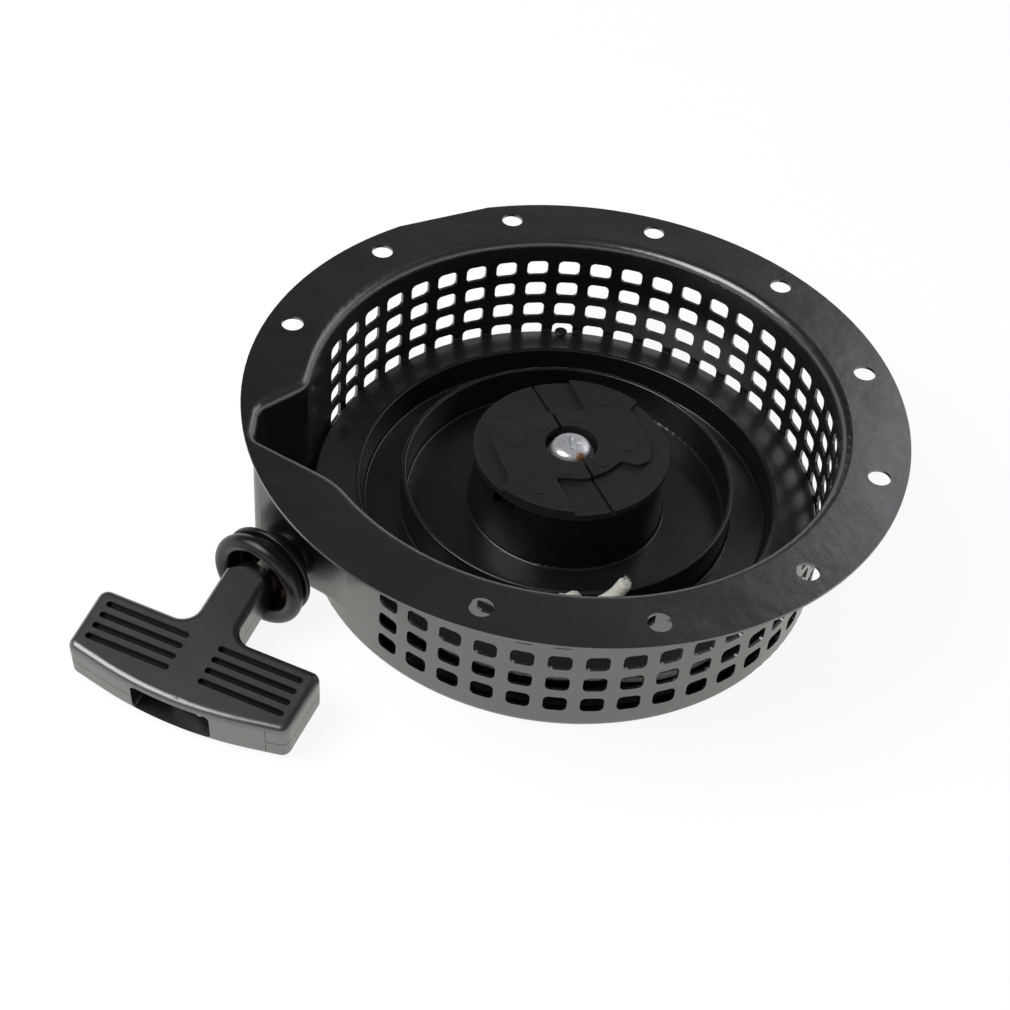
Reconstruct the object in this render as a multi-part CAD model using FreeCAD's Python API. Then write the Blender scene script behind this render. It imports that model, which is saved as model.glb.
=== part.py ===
"""Recoil starter for a small engine, built as one solid or group of solids for each separate piece.

Lengths are in millimetres and angles in degrees. The origin is the centre of the flange's mounting
face, and +Z points out of that face, towards the engine. The housing's closed bottom faces -Z.
Angles are measured about +Z from +X. The reel turns anticlockwise, seen from +Z, when it is pulled.
"""
import FreeCAD, Part
import math
import os

V = FreeCAD.Vector
UP = V(0, 0, 1)

# ---------------------------------------------------------------- clearances
SEAT = 0.2                   # gap between two pieces that sit on each other and may move
RUNNING = 0.05               # radial clearance of a bearing
SIDE_GAP = 0.4               # clearance beside a moving piece

# ---------------------------------------------------------------- pressed steel housing
SHEET = 1.2
HOUSING_DEPTH = 74.3
WALL_GAP = 1.6               # from the reel's top flange to the wall's inner face
FLANGE_WIDTH = 26.9          # from the wall's inner face to the flange's edge
FLANGE_FLAT_INSET = 1.7
FLANGE_FLAT_ANGLE = 133.0
BOLT_EDGE_DISTANCE = 10.9    # from the flange's edge to the bolt circle
BOLT_HOLE_R = 4.5
BOLT_COUNT = 10
BOLT_STEP = 30.0
BOLT_FIRST_ANGLE = -90.0
MOUTH_BEND_R = 3.9           # from the mounting face into the wall
FLOOR_BEND_R = 3.2
RAISED_FLOOR_R = 66.0
RAISED_FLOOR_SLOPE = 3.0
RAISED_FLOOR_HEIGHT = 3.0
RAISED_FLOOR_BEND_R = 1.5

VENT_WIDTH = 9.2
VENT_HEIGHT = 7.4
VENT_CORNER_R = 2.2
VENT_ROWS = 5
VENT_TOP_DEPTH = 14.9
VENT_BOTTOM_HEIGHT = 13.4
VENT_COLUMNS = 39
VENT_STEP = 7.613
VENT_FIRST_ANGLE = -113.34

# The wall bulges out where the rope leaves. Headings are directions of travel round the wall.
OUTLET_FLOOR_HEIGHT = 7.3
OUTLET_FLOOR_BEND_R = 3.0
OUTLET_START_ANGLE = 191.0
OUTLET_END_ANGLE = 233.0
OUTLET_LEAD_IN = 12.0
OUTLET_FLARE_HEADING = 239.0
OUTLET_FLARE = 23.4
OUTLET_SIDE_HEADING = 286.0
OUTLET_FACE_ANGLE = 255.0    # direction that the flat front face looks in
OUTLET_FACE_INSET = 10.9     # how much nearer the axis that face is than the round wall
OUTLET_CORNER_RADII = [10.0, 9.0, 5.0, 38.0]

# ---------------------------------------------------------------- rope and its line of pull
ROPE_R = 2.65
WINDING_INSET = 12.7         # from the reel's top flange's edge to the centre of the wound rope
WINDING_PITCH = 5.45
WINDING_STEPS = 24           # straight runs in one turn
WINDING_TURNS = 1.69
PULL_AZIMUTH = -95.5
PULL_RISE = 2.2              # the line of pull rises towards the handle
LEAD_START_HEIGHT = 17.1     # where the rope leaves the reel, above the housing's bottom
LEAD_GAP = 0.8               # between the wound rope and the part that slides out
ROPE_HOLE_TOP_HEIGHT = 22.3
ROPE_HOLE_DROP = 6.0         # length of the rope's runs beside its lowest corner
ROPE_ENTRY_SWEEP = 12.0      # from the hole to where the rope crosses the core
ROPE_ENTRY_STANDOFF = 1.2    # the first corner on the core stands off, and the next ones lie on it
FLANGE_GAP = 0.4             # between the lowest turn and the lower flange
KNOT_R = 4.6
KNOT_LIFT = 5.0              # from the knot's foot to the reel's rope hole
KNOT_LEAN = 70.0             # between the knot's two loops, seen from above
REEL_KNOT_TILTS = [70.0, -55.0]
TAIL_INSET = 3.3             # how far nearer the axis the rope's end is than its hole
TAIL_FOOT_SWEEP = 12.6       # from the hole to the foot of the rope's end
TAIL_FOOT_RISE = -5.5        # above the middle of the knot
TAIL_TOP_SWEEP = 17.3
TAIL_TOP_RISE = 8.9

# ---------------------------------------------------------------- rope guide and eyelet
GUIDE_STANDOFF = 17.44       # from the outlet's outer face to the centre of the guide's lip
GUIDE_SIDE_OFFSET = 1.9      # from the line of pull to the guide's axis
GUIDE_LIP_R = 17.4
GUIDE_LIP_THICKNESS_R = 3.4
GUIDE_NECK_R = 10.0
GUIDE_NECK_LENGTH = 1.5
GUIDE_SHOULDER = 2.2
GUIDE_SHOULDER_LENGTH = 1.0
GUIDE_BACK_RIM_R = 19.8
GUIDE_BACK_RIM_WIDTH = 2.0
GUIDE_BACK_RIM_EDGE_R = 0.8
GUIDE_GROOVE_R = 17.6
GUIDE_MOUTH_DROP = 2.5       # from the back of the lip to the mouth of the eyelet
GUIDE_MOUTH_INSET = 2.2
EYELET_BORE_R = 8.4
EYELET_WALL = 0.7
EYELET_MOUTH_R = 12.7
EYELET_MOUTH_LENGTH = 7.5
EYELET_MOUTH_LIP = 0.3
EYELET_BACK_RIM_R = 10.5

# ---------------------------------------------------------------- reel
# Heights are above the housing's bottom.
TOP_FLANGE_R = 104.0
TOP_FLANGE_EDGE_HEIGHT = 25.3
TOP_FLANGE_THICKNESS = 2.2
RIM_INSET = 16.7             # from the top flange's edge to the raised rim
RIM_HEIGHT = 29.0
RIM_WIDTH = 1.7
CORE_INSET = 3.7             # from the raised rim to the foot of the recess
LOWER_FLANGE_INSET = 4.0
LOWER_FLANGE_THICKNESS = 2.0
WEB_TOP_HEIGHT = 18.5
WEB_THICKNESS = 3.5
RECESS_WIDTH = 15.1          # from the foot of the recess to the ring
RING_WIDTH = 2.0
RING_TOP_HEIGHT = 33.8
DRUM_R = 40.5
DRUM_TAPER = 1.9             # the drum's top is this much smaller in radius
DRUM_WALL = 3.0
DECK_HEIGHT = 44.8
DECK_THICKNESS = 9.5
HUB_R = 13.0
BUSH_WALL = 2.0
FLANGE_EDGE_ROUND = 0.8
RIM_EDGE_ROUND = 0.6
WEB_CORNER_ROUND = 1.0
RING_EDGE_ROUND = 0.7
STUD_ANGLE = 107.9
STUD_INSET = 2.6
STUD_HEAD_R = 2.8
STUD_STEM_R = 1.2
STUD_HEAD_THICKNESS = 1.0
STUD_TOP_HEIGHT = 27.7
NOTCH_R = 1.0
NOTCH_ANGLE = 106.1

# ---------------------------------------------------------------- centre post, screw and guide plate
POST_R = 7.0
POST_BASE_R = 12.5
POST_BASE_THICKNESS = 2.0
POST_RIVET_R = 6.0
POST_RIVET_HEAD_R = 10.0
POST_RIVET_HEAD_THICKNESS = 2.0
SPIGOT_R = 5.0
THRUST_WASHER_R = 11.5
THRUST_WASHER_THICKNESS = 0.6
SCREW_R = 3.0
SCREW_LENGTH = 16.0
SCREW_HEAD_R = 8.4
SCREW_HEAD_TOP_HEIGHT = 50.8
SCREW_HEAD_THICKNESS = 5.1
SCREW_CROSS_LENGTH = 8.4
SCREW_CROSS_WIDTH = 1.5
SCREW_CROSS_DEPTH = 2.2
WASHER_R = 9.5
WASHER_THICKNESS = 1.0
FRICTION_WASHER_THICKNESS = 0.6

PLATE_R = 39.8
PLATE_TOP_HEIGHT = 48.2      # the plate's low level
PLATE_UNDERSIDE_HEIGHT = 45.3
PLATEAU_HEIGHT = 2.0
PLATE_WELL_R = 11.0
PLATE_HUB_FLOOR = 2.2
PLATE_HUB_WALL = 2.0
PLATE_TURN = -25.0           # how far the plate lags behind the reel
SLIT_WIDTH = 1.6
SLIT_ANGLE = 130.5
SLIT_DEPTH = 2.0
EJECTOR_R = 3.1
EJECTOR_HEIGHT = 0.4
# Corners of half of the raised area, as shares of the plate's radius: how far out, at which angle in
# degrees, and how much each is rounded. The other half is the same, turned by 180 degrees.
PLATEAU_CORNERS = [(0.545, 88.6, 0.038), (0.535, 120.7, 0.2), (0.515, 147.5, 0.15), (0.55, 174.0, 0.03),
                   (0.724, 176.0, 0.07), (0.812, 183.7, 0.088), (0.814, 197.5, 0.125), (0.781, 218.0, 0.15),
                   (0.82, 235.0, 0.1), (0.867, 241.5, 0.05)]
PLATEAU_START_ANGLE = 107.8
PLATEAU_END_ANGLE = 243.0
# Each ejector mark's distance from the axis, as a share of the plate's radius, and its angle.
EJECTOR_PLACES = [(0.781, 80.7), (0.402, 99.0), (0.392, 158.6), (0.568, 198.5)]

# ---------------------------------------------------------------- pawls
PAWL_PIVOT_R = 30.0
PAWL_PIVOT_ANGLES = [45.0, 225.0]
PAWL_LENGTH = 17.5
PAWL_HALF_WIDTH = 4.0
PAWL_TIP_HALF_WIDTH = 2.6
PAWL_TIP_CORNER_R = 0.8
PAWL_THICKNESS = 5.5
PAWL_REST_TILT = 3.0         # the retracted pawl leans in from the tangent
PAWL_SWING = -35.0
PAWL_PIN_R = 2.5
CAM_PIN_R = 1.8
CAM_PIN_DISTANCE = 10.0
CAM_PIN_HEIGHT = 2.2
CAM_SLOT_ROOF = 0.3
CAM_SLOT_STEPS = 10
SPRING_WIRE_R = 0.4
PAWL_SPRING_R = 3.3
PAWL_SPRING_LEG = 6.0

# ---------------------------------------------------------------- rewind spring
CASE_R = 61.0
CASE_WALL = 1.0
CASE_FLOOR = 1.0
CASE_TOP_GAP = 0.5
STRIP_THICKNESS = 0.5
STRIP_END_GAP = 0.3
SPRING_HALF_TURNS = 13
SPRING_HOOK_R = 2.6
SPRING_HOOK_OVERLAP = 1.5    # how far the hook runs on past its pin
SPRING_PIN_R = 2.1
CASE_RIVET_R = 2.0
CASE_RIVET_HEAD_R = 3.6
CASE_RIVET_HEAD_THICKNESS = 1.4
CASE_RIVET_CIRCLE_R = 45.0
CASE_RIVET_ANGLES = [30.0, 150.0, 270.0]

# ---------------------------------------------------------------- T-handle
# Its own frame: +X along the bar, +Y towards the guide, +Z out of its upper face, origin at mid-thickness
# in the middle of the bar's back edge.
HANDLE_YAW = -4.5
HANDLE_PITCH = 7.9
HANDLE_ROLL = 3.1
BAR_LENGTH = 93.2
BAR_END_DEPTH = 28.7
BAR_END_DRAFT = 0.8          # the bar's ends narrow by this much towards the front
BAR_BULGE = 9.0              # the front edge's straight lines would meet this far in front of the ends
BAR_BULGE_R = 160.0
BAR_THICKNESS = 19.0
BAR_CORNER_R = 4.0
BAR_EDGE_R = 3.0
STEM_WIDTH = 18.0
STEM_LENGTH = 22.0
STEM_FILLET_R = 7.0
NOSE_LENGTH = 14.0
NOSE_BASE_R = 16.0
NOSE_TIP_R = 6.5
NOSE_DEPTH = 0.8             # from the guide's lip in to where the rope bends
ROPE_BEND_INSET = 1.0        # from the nose's tip in to where the rope bends
ROPE_BEND_REACH = 8.0        # length of rope on each side of the bend that is curved
GRIP_GROOVES = 4
GRIP_GROOVE_FIRST = 6.4
GRIP_GROOVE_PITCH = 5.2
GRIP_GROOVE_WIDTH = 2.7
GRIP_GROOVE_DEPTH = 2.2
GRIP_GROOVE_INNER = 6.1
GRIP_GROOVE_OUTER = 41.3
HANDLE_BORE_R = 3.8
CHAMBER_LEFT = 16.3
CHAMBER_RIGHT = 16.4
CHAMBER_HEIGHT = 14.3
CHAMBER_CORNER_R = 2.5
CHAMBER_BACK = 14.0          # from the bar's back edge to the wall that the knot pulls on
INSERT_RIGHT = 37.7
INSERT_DEPTH = 4.0
INSERT_HEIGHT = 15.0
HANDLE_KNOT_TILTS = [4.0, -20.0]
HANDLE_KNOT_SIDE = 1.0       # from the bore's axis to the middle of the knot
HANDLE_TAIL_SIDE = 12.5      # the rope's end, from the bore's axis
HANDLE_TAIL_FRONT = 30.5
HANDLE_TAIL_RISE = 3.6
HANDLE_TAIL_BEND = 7.0       # side of the bend in the rope's end
HANDLE_TAIL_BEND_FRONT = 24.0
HANDLE_TAIL_BEND_RISE = 1.5
KNOT_WASHER_R = 5.4
KNOT_WASHER_THICKNESS = 1.0

# ---------------------------------------------------------------- worked out from the sizes above
WALL_R = TOP_FLANGE_R + WALL_GAP
FLANGE_R = WALL_R + FLANGE_WIDTH
FLANGE_FLAT_DISTANCE = FLANGE_R - FLANGE_FLAT_INSET
BOLT_CIRCLE_R = FLANGE_R - BOLT_EDGE_DISTANCE
OUTLET_FACE_DISTANCE = WALL_R - OUTLET_FACE_INSET
WINDING_R = TOP_FLANGE_R - WINDING_INSET
CORE_R = WINDING_R - ROPE_R
LOWER_FLANGE_R = TOP_FLANGE_R - LOWER_FLANGE_INSET
RIM_R = TOP_FLANGE_R - RIM_INSET
CORE_INNER_R = RIM_R - CORE_INSET
RING_OUTER_R = CORE_INNER_R - RECESS_WIDTH
ROPE_HOLE_R = (RING_OUTER_R + CORE_INNER_R) / 2
STUD_CIRCLE_R = TOP_FLANGE_R - STUD_INSET
DRUM_TOP_R = DRUM_R - DRUM_TAPER
PLATE_HUB_R = PLATE_WELL_R + PLATE_HUB_WALL

BOTTOM_Z = -HOUSING_DEPTH
FLOOR_Z = BOTTOM_Z + SHEET
RAISED_FLOOR_Z = FLOOR_Z + RAISED_FLOOR_HEIGHT
RAISED_UNDERSIDE_Z = RAISED_FLOOR_Z - SHEET
OUTLET_FLOOR_Z = BOTTOM_Z + OUTLET_FLOOR_HEIGHT + SHEET
VENT_ROW_PITCH = (HOUSING_DEPTH - VENT_TOP_DEPTH - VENT_BOTTOM_HEIGHT) / (VENT_ROWS - 1)
LEAD_START_Z = BOTTOM_Z + LEAD_START_HEIGHT
ROPE_HOLE_TOP_Z = BOTTOM_Z + ROPE_HOLE_TOP_HEIGHT
RIM_Z = BOTTOM_Z + RIM_HEIGHT
TOP_FLANGE_EDGE_Z = BOTTOM_Z + TOP_FLANGE_EDGE_HEIGHT
WEB_TOP_Z = BOTTOM_Z + WEB_TOP_HEIGHT
WEB_BOTTOM_Z = WEB_TOP_Z - WEB_THICKNESS
RING_TOP_Z = BOTTOM_Z + RING_TOP_HEIGHT
DECK_Z = BOTTOM_Z + DECK_HEIGHT
DECK_BOTTOM_Z = DECK_Z - DECK_THICKNESS
STUD_TOP_Z = BOTTOM_Z + STUD_TOP_HEIGHT
WINDING_START_Z = LEAD_START_Z - WINDING_PITCH * WINDING_TURNS
LOWER_FLANGE_TOP_Z = WINDING_START_Z - ROPE_R - FLANGE_GAP
CASE_FLOOR_TOP_Z = RAISED_FLOOR_Z + CASE_FLOOR
CASE_TOP_Z = WEB_BOTTOM_Z - CASE_TOP_GAP
STRIP_BOTTOM_Z = CASE_FLOOR_TOP_Z + SEAT
STRIP_TOP_Z = CASE_TOP_Z - SEAT
POST_BASE_TOP_Z = CASE_FLOOR_TOP_Z + POST_BASE_THICKNESS
HUB_BOTTOM_Z = POST_BASE_TOP_Z + THRUST_WASHER_THICKNESS + SEAT
SCREW_HEAD_TOP_Z = BOTTOM_Z + SCREW_HEAD_TOP_HEIGHT
WASHER_TOP_Z = SCREW_HEAD_TOP_Z - SCREW_HEAD_THICKNESS
SPIGOT_TOP_Z = WASHER_TOP_Z - WASHER_THICKNESS
PLATE_WELL_Z = SPIGOT_TOP_Z - FRICTION_WASHER_THICKNESS - SEAT
PLATE_HUB_BOTTOM_Z = PLATE_WELL_Z - PLATE_HUB_FLOOR
SHOULDER_Z = PLATE_HUB_BOTTOM_Z - SEAT
HUB_TOP_Z = SHOULDER_Z - SEAT
PLATE_TOP_Z = BOTTOM_Z + PLATE_TOP_HEIGHT
PLATE_UNDERSIDE_Z = BOTTOM_Z + PLATE_UNDERSIDE_HEIGHT
PLATEAU_Z = PLATE_TOP_Z + PLATEAU_HEIGHT
PAWL_TOP_Z = DECK_Z - SEAT
PAWL_BOTTOM_Z = PAWL_TOP_Z - PAWL_THICKNESS
POCKET_FLOOR_Z = PAWL_BOTTOM_Z - 2 * SPRING_WIRE_R - 2 * SEAT
GUIDE_MOUTH_Z = GUIDE_STANDOFF - GUIDE_LIP_THICKNESS_R - GUIDE_MOUTH_DROP   # out from the outlet's face
NOSE_END = STEM_LENGTH + NOSE_LENGTH
ROPE_BEND_Y = NOSE_END - ROPE_BEND_INSET


# ---------------------------------------------------------------- helpers
def polar(radius, angle, z=0.0):
    """The point at this radius and angle about the Z axis."""
    turn = math.radians(angle)
    return V(radius * math.cos(turn), radius * math.sin(turn), z)


def heading_vector(heading):
    """The unit vector of a direction of travel."""
    return polar(1, heading)


def pull_direction():
    rise = math.radians(PULL_RISE)
    return polar(math.cos(rise), PULL_AZIMUTH) + UP * math.sin(rise)


def lead_start():
    """Where the rope leaves the reel, tangent to the winding."""
    return polar(WINDING_R, PULL_AZIMUTH - 90, LEAD_START_Z)


def lip_crossing():
    """How far along the line of pull it crosses the plane of the guide's lip."""
    outwards = heading_vector(OUTLET_FACE_ANGLE)
    distance = OUTLET_FACE_DISTANCE + SHEET + GUIDE_STANDOFF
    return (distance - lead_start().dot(outwards)) / pull_direction().dot(outwards)


def guide_foot():
    """Where the guide's axis leaves the outlet's outer face."""
    outwards = heading_vector(OUTLET_FACE_ANGLE)
    crossing = lead_start() + pull_direction() * lip_crossing()
    sideways = heading_vector(OUTLET_FACE_ANGLE + 90)
    return crossing + sideways * GUIDE_SIDE_OFFSET - outwards * GUIDE_STANDOFF


def disc(radius, low, high, centre=V(0, 0, 0)):
    """A solid cylinder along Z between two heights."""
    return Part.makeCylinder(radius, high - low, V(centre.x, centre.y, low))


def ring(outer, inner, low, high, centre=V(0, 0, 0)):
    """A round tube along Z between two heights."""
    return disc(outer, low, high, centre).cut(disc(inner, low - 1, high + 1, centre))


def block(low, high):
    """A box between two opposite corners."""
    return Part.makeBox(high.x - low.x, high.y - low.y, high.z - low.z, low)


def corner_arc(before, corner, after, radius):
    """The arc that rounds a corner between two straight lines."""
    back = (before - corner).normalize()
    on = (after - corner).normalize()
    half = back.getAngle(on) / 2
    reach = radius / math.tan(half)
    middle = (back + on).normalize()
    centre_distance = radius / math.sin(half)
    top = corner + middle * (centre_distance - radius)
    return Part.Arc(corner + back * reach, top, corner + on * reach)


def rounded_edges(points, radii):
    """Edges from the first point to the last, each corner between them rounded with its radius."""
    edges = []
    here = points[0]
    for before, corner, after, radius in zip(points, points[1:], points[2:], radii):
        if radius > 0:
            arc = corner_arc(before, corner, after, radius).toShape()
            start = arc.Vertexes[0].Point
            if (start - here).Length > 1e-6:
                edges.append(Part.makeLine(here, start))
            edges.append(arc)
            here = arc.Vertexes[-1].Point
        else:
            edges.append(Part.makeLine(here, corner))
            here = corner
    edges.append(Part.makeLine(here, points[-1]))
    return edges


def rounded_outline(points, radii):
    """A closed flat outline whose corners are rounded, each with its own radius."""
    start = (points[0] + points[-1]) * 0.5
    chain = [start] + list(points) + [start]
    return Part.Wire(rounded_edges(chain, radii))


def prism(outline, low, high):
    """The solid between two heights over a closed outline drawn at height 0."""
    solid = Part.Face(outline).extrude(V(0, 0, high - low))
    solid.translate(V(0, 0, low))
    return solid


def turned(profile, radii=None):
    """A solid of revolution about Z from (radius, height) corners, with optional corner radii."""
    points = [V(radius, 0, height) for radius, height in profile]
    outline = rounded_outline(points, radii or [0.0] * len(points))
    return Part.Face(outline).revolve(V(0, 0, 0), UP, 360)


def fused(solids):
    """One solid from several that touch or overlap."""
    first = solids[0]
    return first.fuse(solids[1:]).removeSplitter() if len(solids) > 1 else first


def flat_edges(shape, height, largest_radius):
    """Edges that lie at one height and no further than a radius from the axis."""
    chosen = []
    for edge in shape.Edges:
        box = edge.BoundBox
        corners = [vertex.Point for vertex in edge.Vertexes]
        reach = max(math.hypot(point.x, point.y) for point in corners)
        if abs(box.ZMin - height) < 1e-4 and abs(box.ZMax - height) < 1e-4 and reach < largest_radius:
            chosen.append(edge)
    return chosen


def run_radii(points):
    """The radius that rounds each corner of a route, as large as its two runs allow."""
    radii = []
    for before, corner, after in zip(points, points[1:], points[2:]):
        shorter = min((corner - before).Length, (after - corner).Length)
        turn = (corner - before).getAngle(after - corner)
        radii.append(0.45 * shorter / math.tan(turn / 2))
    return radii


def rope_along(points, radius, name):
    """A round rope along a route of straight runs joined by tangent arcs."""
    radii = run_radii(points)
    route = Part.Wire(rounded_edges(points, radii))
    start = points[0]
    heading = (points[1] - points[0]).normalize()
    section = Part.Wire(Part.makeCircle(radius, start, heading))
    solid = route.makePipeShell([section], True, True)
    full = math.pi * radius * radius * route.Length
    tightest = min(radii) if radii else 0.0
    share = solid.Volume / full
    print(f"{name}: length {route.Length:.1f}, tightest bend {tightest:.1f}, volume share {share:.4f}")
    return solid


def capsule(start, end, radius, low, high):
    """An upright slot-shaped solid round the line between two points."""
    solids = [disc(radius, low, high, start), disc(radius, low, high, end)]
    along = V(end.x - start.x, end.y - start.y, 0)
    if along.Length > 1e-6:
        bar = Part.makeBox(along.Length, 2 * radius, high - low, V(0, -radius, low))
        bar.rotate(V(0, 0, 0), UP, math.degrees(math.atan2(along.y, along.x)))
        bar.translate(V(start.x, start.y, 0))
        solids.append(bar)
    return fused(solids)


# ---------------------------------------------------------------- housing
def meeting_point(point, heading, other, other_heading):
    """Where two straight lines cross."""
    along = heading_vector(heading)
    cross = heading_vector(other_heading - 90)
    return point + along * ((other - point).dot(cross) / along.dot(cross))


def wall_outline(grow):
    """The wall's plan, moved out from its inner face by a distance: a circle with the outlet's bulge."""
    radius = WALL_R + grow
    start = polar(radius, OUTLET_START_ANGLE)
    end = polar(radius, OUTLET_END_ANGLE)
    start_heading = OUTLET_START_ANGLE + 90
    end_heading = OUTLET_END_ANGLE + 90
    inner_start = polar(WALL_R, OUTLET_START_ANGLE)
    first = inner_start + heading_vector(start_heading) * OUTLET_LEAD_IN
    second = first + heading_vector(OUTLET_FLARE_HEADING) * OUTLET_FLARE
    flare_point = first + heading_vector(OUTLET_FLARE_HEADING - 90) * grow
    side_point = second + heading_vector(OUTLET_SIDE_HEADING - 90) * grow
    face_point = polar(OUTLET_FACE_DISTANCE + grow, OUTLET_FACE_ANGLE)
    face_heading = OUTLET_FACE_ANGLE + 90
    corners = [meeting_point(start, start_heading, flare_point, OUTLET_FLARE_HEADING),
               meeting_point(flare_point, OUTLET_FLARE_HEADING, side_point, OUTLET_SIDE_HEADING),
               meeting_point(side_point, OUTLET_SIDE_HEADING, face_point, face_heading),
               meeting_point(face_point, face_heading, end, end_heading)]
    signs = [-1, 1, 1, -1]
    radii = [radius_0 + sign * grow for radius_0, sign in zip(OUTLET_CORNER_RADII, signs)]
    edges = rounded_edges([start] + corners + [end], radii)
    opposite = (OUTLET_START_ANGLE + OUTLET_END_ANGLE) / 2 + 180
    edges.append(Part.Arc(end, polar(radius, opposite), start).toShape())
    return Part.Wire(edges)


def housing_volume(grow, top):
    """The room inside the housing, or with the sheet's thickness its outside, up to a height."""
    outlet_bottom = OUTLET_FLOOR_Z - grow
    outlet = prism(wall_outline(grow), outlet_bottom, top)
    bend = OUTLET_FLOOR_BEND_R - SHEET + grow
    outlet = outlet.makeFillet(bend, flat_edges(outlet, outlet_bottom, FLANGE_R))
    floor = FLOOR_Z - grow
    floor_bend = FLOOR_BEND_R - SHEET + grow
    raised = RAISED_FLOOR_Z - grow
    profile = [(0, raised), (RAISED_FLOOR_R - RAISED_FLOOR_SLOPE, raised), (RAISED_FLOOR_R, floor),
               (WALL_R + grow, floor), (WALL_R + grow, outlet_bottom + 2 * bend),
               (0, outlet_bottom + 2 * bend)]
    bowl = turned(profile, [0, RAISED_FLOOR_BEND_R, RAISED_FLOOR_BEND_R, floor_bend, 0, 0])
    return outlet.fuse(bowl)


def vents():
    """The cutters of the wall's rows of ventilation holes."""
    half_width = VENT_WIDTH / 2
    half_height = VENT_HEIGHT / 2
    corners = [V(0, -half_width, -half_height), V(0, half_width, -half_height),
               V(0, half_width, half_height), V(0, -half_width, half_height)]
    outline = rounded_outline(corners, [VENT_CORNER_R] * 4)
    cutter = Part.Face(outline).extrude(V(4 * SHEET, 0, 0))
    cutter.translate(V(WALL_R - 2 * SHEET, 0, 0))
    cutters = []
    for column in range(VENT_COLUMNS):
        for row in range(VENT_ROWS):
            copy = cutter.copy()
            copy.translate(V(0, 0, -VENT_TOP_DEPTH - row * VENT_ROW_PITCH))
            copy.rotate(V(0, 0, 0), UP, VENT_FIRST_ANGLE + column * VENT_STEP)
            cutters.append(copy)
    return cutters


def bolt_holes():
    """The cutters of the flange's mounting holes."""
    return [disc(BOLT_HOLE_R, -2 * SHEET, SHEET, polar(BOLT_CIRCLE_R, BOLT_FIRST_ANGLE + index * BOLT_STEP))
            for index in range(BOLT_COUNT)]


def outward(solid):
    """A solid drawn about Z, placed so that Z runs out of the outlet's face, with its origin on that face."""
    placed = solid.copy()
    turn = FreeCAD.Rotation(UP, heading_vector(OUTLET_FACE_ANGLE))
    placed.Placement = FreeCAD.Placement(guide_foot(), turn)
    return placed


def make_housing():
    flange = disc(FLANGE_R, -SHEET, 0)
    far = 2 * FLANGE_R
    beyond_flat = block(V(FLANGE_FLAT_DISTANCE, -far, -far), V(far, far, far))
    beyond_flat.rotate(V(0, 0, 0), UP, FLANGE_FLAT_ANGLE)
    outside = housing_volume(SHEET, -SHEET / 2).fuse(flange.cut(beyond_flat)).removeSplitter()
    under_flange = flat_edges(outside, -SHEET, FLANGE_R - SHEET)
    outside = outside.makeFillet(MOUTH_BEND_R - SHEET, under_flange)
    shell = outside.cut(housing_volume(0, SHEET).removeSplitter())
    shell = shell.makeFillet(MOUTH_BEND_R, flat_edges(shell, 0, FLANGE_FLAT_DISTANCE - SHEET))
    shell = shell.cut(vents() + bolt_holes())
    guide_hole = outward(disc(GUIDE_NECK_R + RUNNING, -3 * SHEET, SHEET))
    post_hole = disc(POST_RIVET_R, RAISED_UNDERSIDE_Z - 1, RAISED_FLOOR_Z + 1)
    rivet_holes = [disc(CASE_RIVET_R, RAISED_UNDERSIDE_Z - 1, RAISED_FLOOR_Z + 1, place)
                   for place in case_rivet_places()]
    return shell.cut([guide_hole, post_hole] + rivet_holes)


# ---------------------------------------------------------------- rope guide
def make_rope_guide():
    """The moulded ring: a neck through the wall, a back rim, a groove and a rounded lip."""
    seat = EYELET_BORE_R + EYELET_WALL + RUNNING
    back = GUIDE_MOUTH_Z - GUIDE_BACK_RIM_WIDTH
    rim_front = GUIDE_MOUTH_Z + GUIDE_BACK_RIM_WIDTH / 4
    profile = [(seat, -SHEET), (GUIDE_NECK_R, -SHEET), (GUIDE_NECK_R, GUIDE_NECK_LENGTH),
               (GUIDE_NECK_R + GUIDE_SHOULDER, GUIDE_NECK_LENGTH + GUIDE_SHOULDER_LENGTH),
               (GUIDE_GROOVE_R, back), (GUIDE_BACK_RIM_R, back + GUIDE_BACK_RIM_WIDTH / 4),
               (GUIDE_BACK_RIM_R, rim_front), (GUIDE_GROOVE_R, rim_front + GUIDE_BACK_RIM_WIDTH / 4),
               (GUIDE_GROOVE_R, GUIDE_STANDOFF), (GUIDE_LIP_R - GUIDE_MOUTH_INSET, GUIDE_STANDOFF),
               (EYELET_MOUTH_R + EYELET_WALL + 2 * RUNNING, GUIDE_MOUTH_Z),
               (seat, GUIDE_MOUTH_Z - EYELET_MOUTH_LENGTH)]
    radii = [0.0] * len(profile)
    radii[5] = radii[6] = GUIDE_BACK_RIM_EDGE_R
    lip = Part.makeTorus(GUIDE_LIP_R, GUIDE_LIP_THICKNESS_R, V(0, 0, GUIDE_STANDOFF))
    return outward(turned(profile, radii).fuse(lip))


def make_guide_eyelet():
    """The metal eyelet that lines the guide and clamps it to the wall."""
    foot = GUIDE_MOUTH_Z - EYELET_MOUTH_LENGTH
    back = -SHEET
    outer = EYELET_BORE_R + EYELET_WALL
    profile = [(EYELET_BORE_R, back - EYELET_WALL), (EYELET_BACK_RIM_R, back - EYELET_WALL),
               (EYELET_BACK_RIM_R, back), (outer, back), (outer, foot),
               (EYELET_MOUTH_R + EYELET_WALL, GUIDE_MOUTH_Z),
               (EYELET_MOUTH_R, GUIDE_MOUTH_Z + EYELET_MOUTH_LIP), (EYELET_BORE_R, foot + EYELET_MOUTH_LIP)]
    return outward(turned(profile))


# ---------------------------------------------------------------- rewind spring and its case
def case_rivet_places():
    return [polar(CASE_RIVET_CIRCLE_R, angle) for angle in CASE_RIVET_ANGLES]


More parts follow.
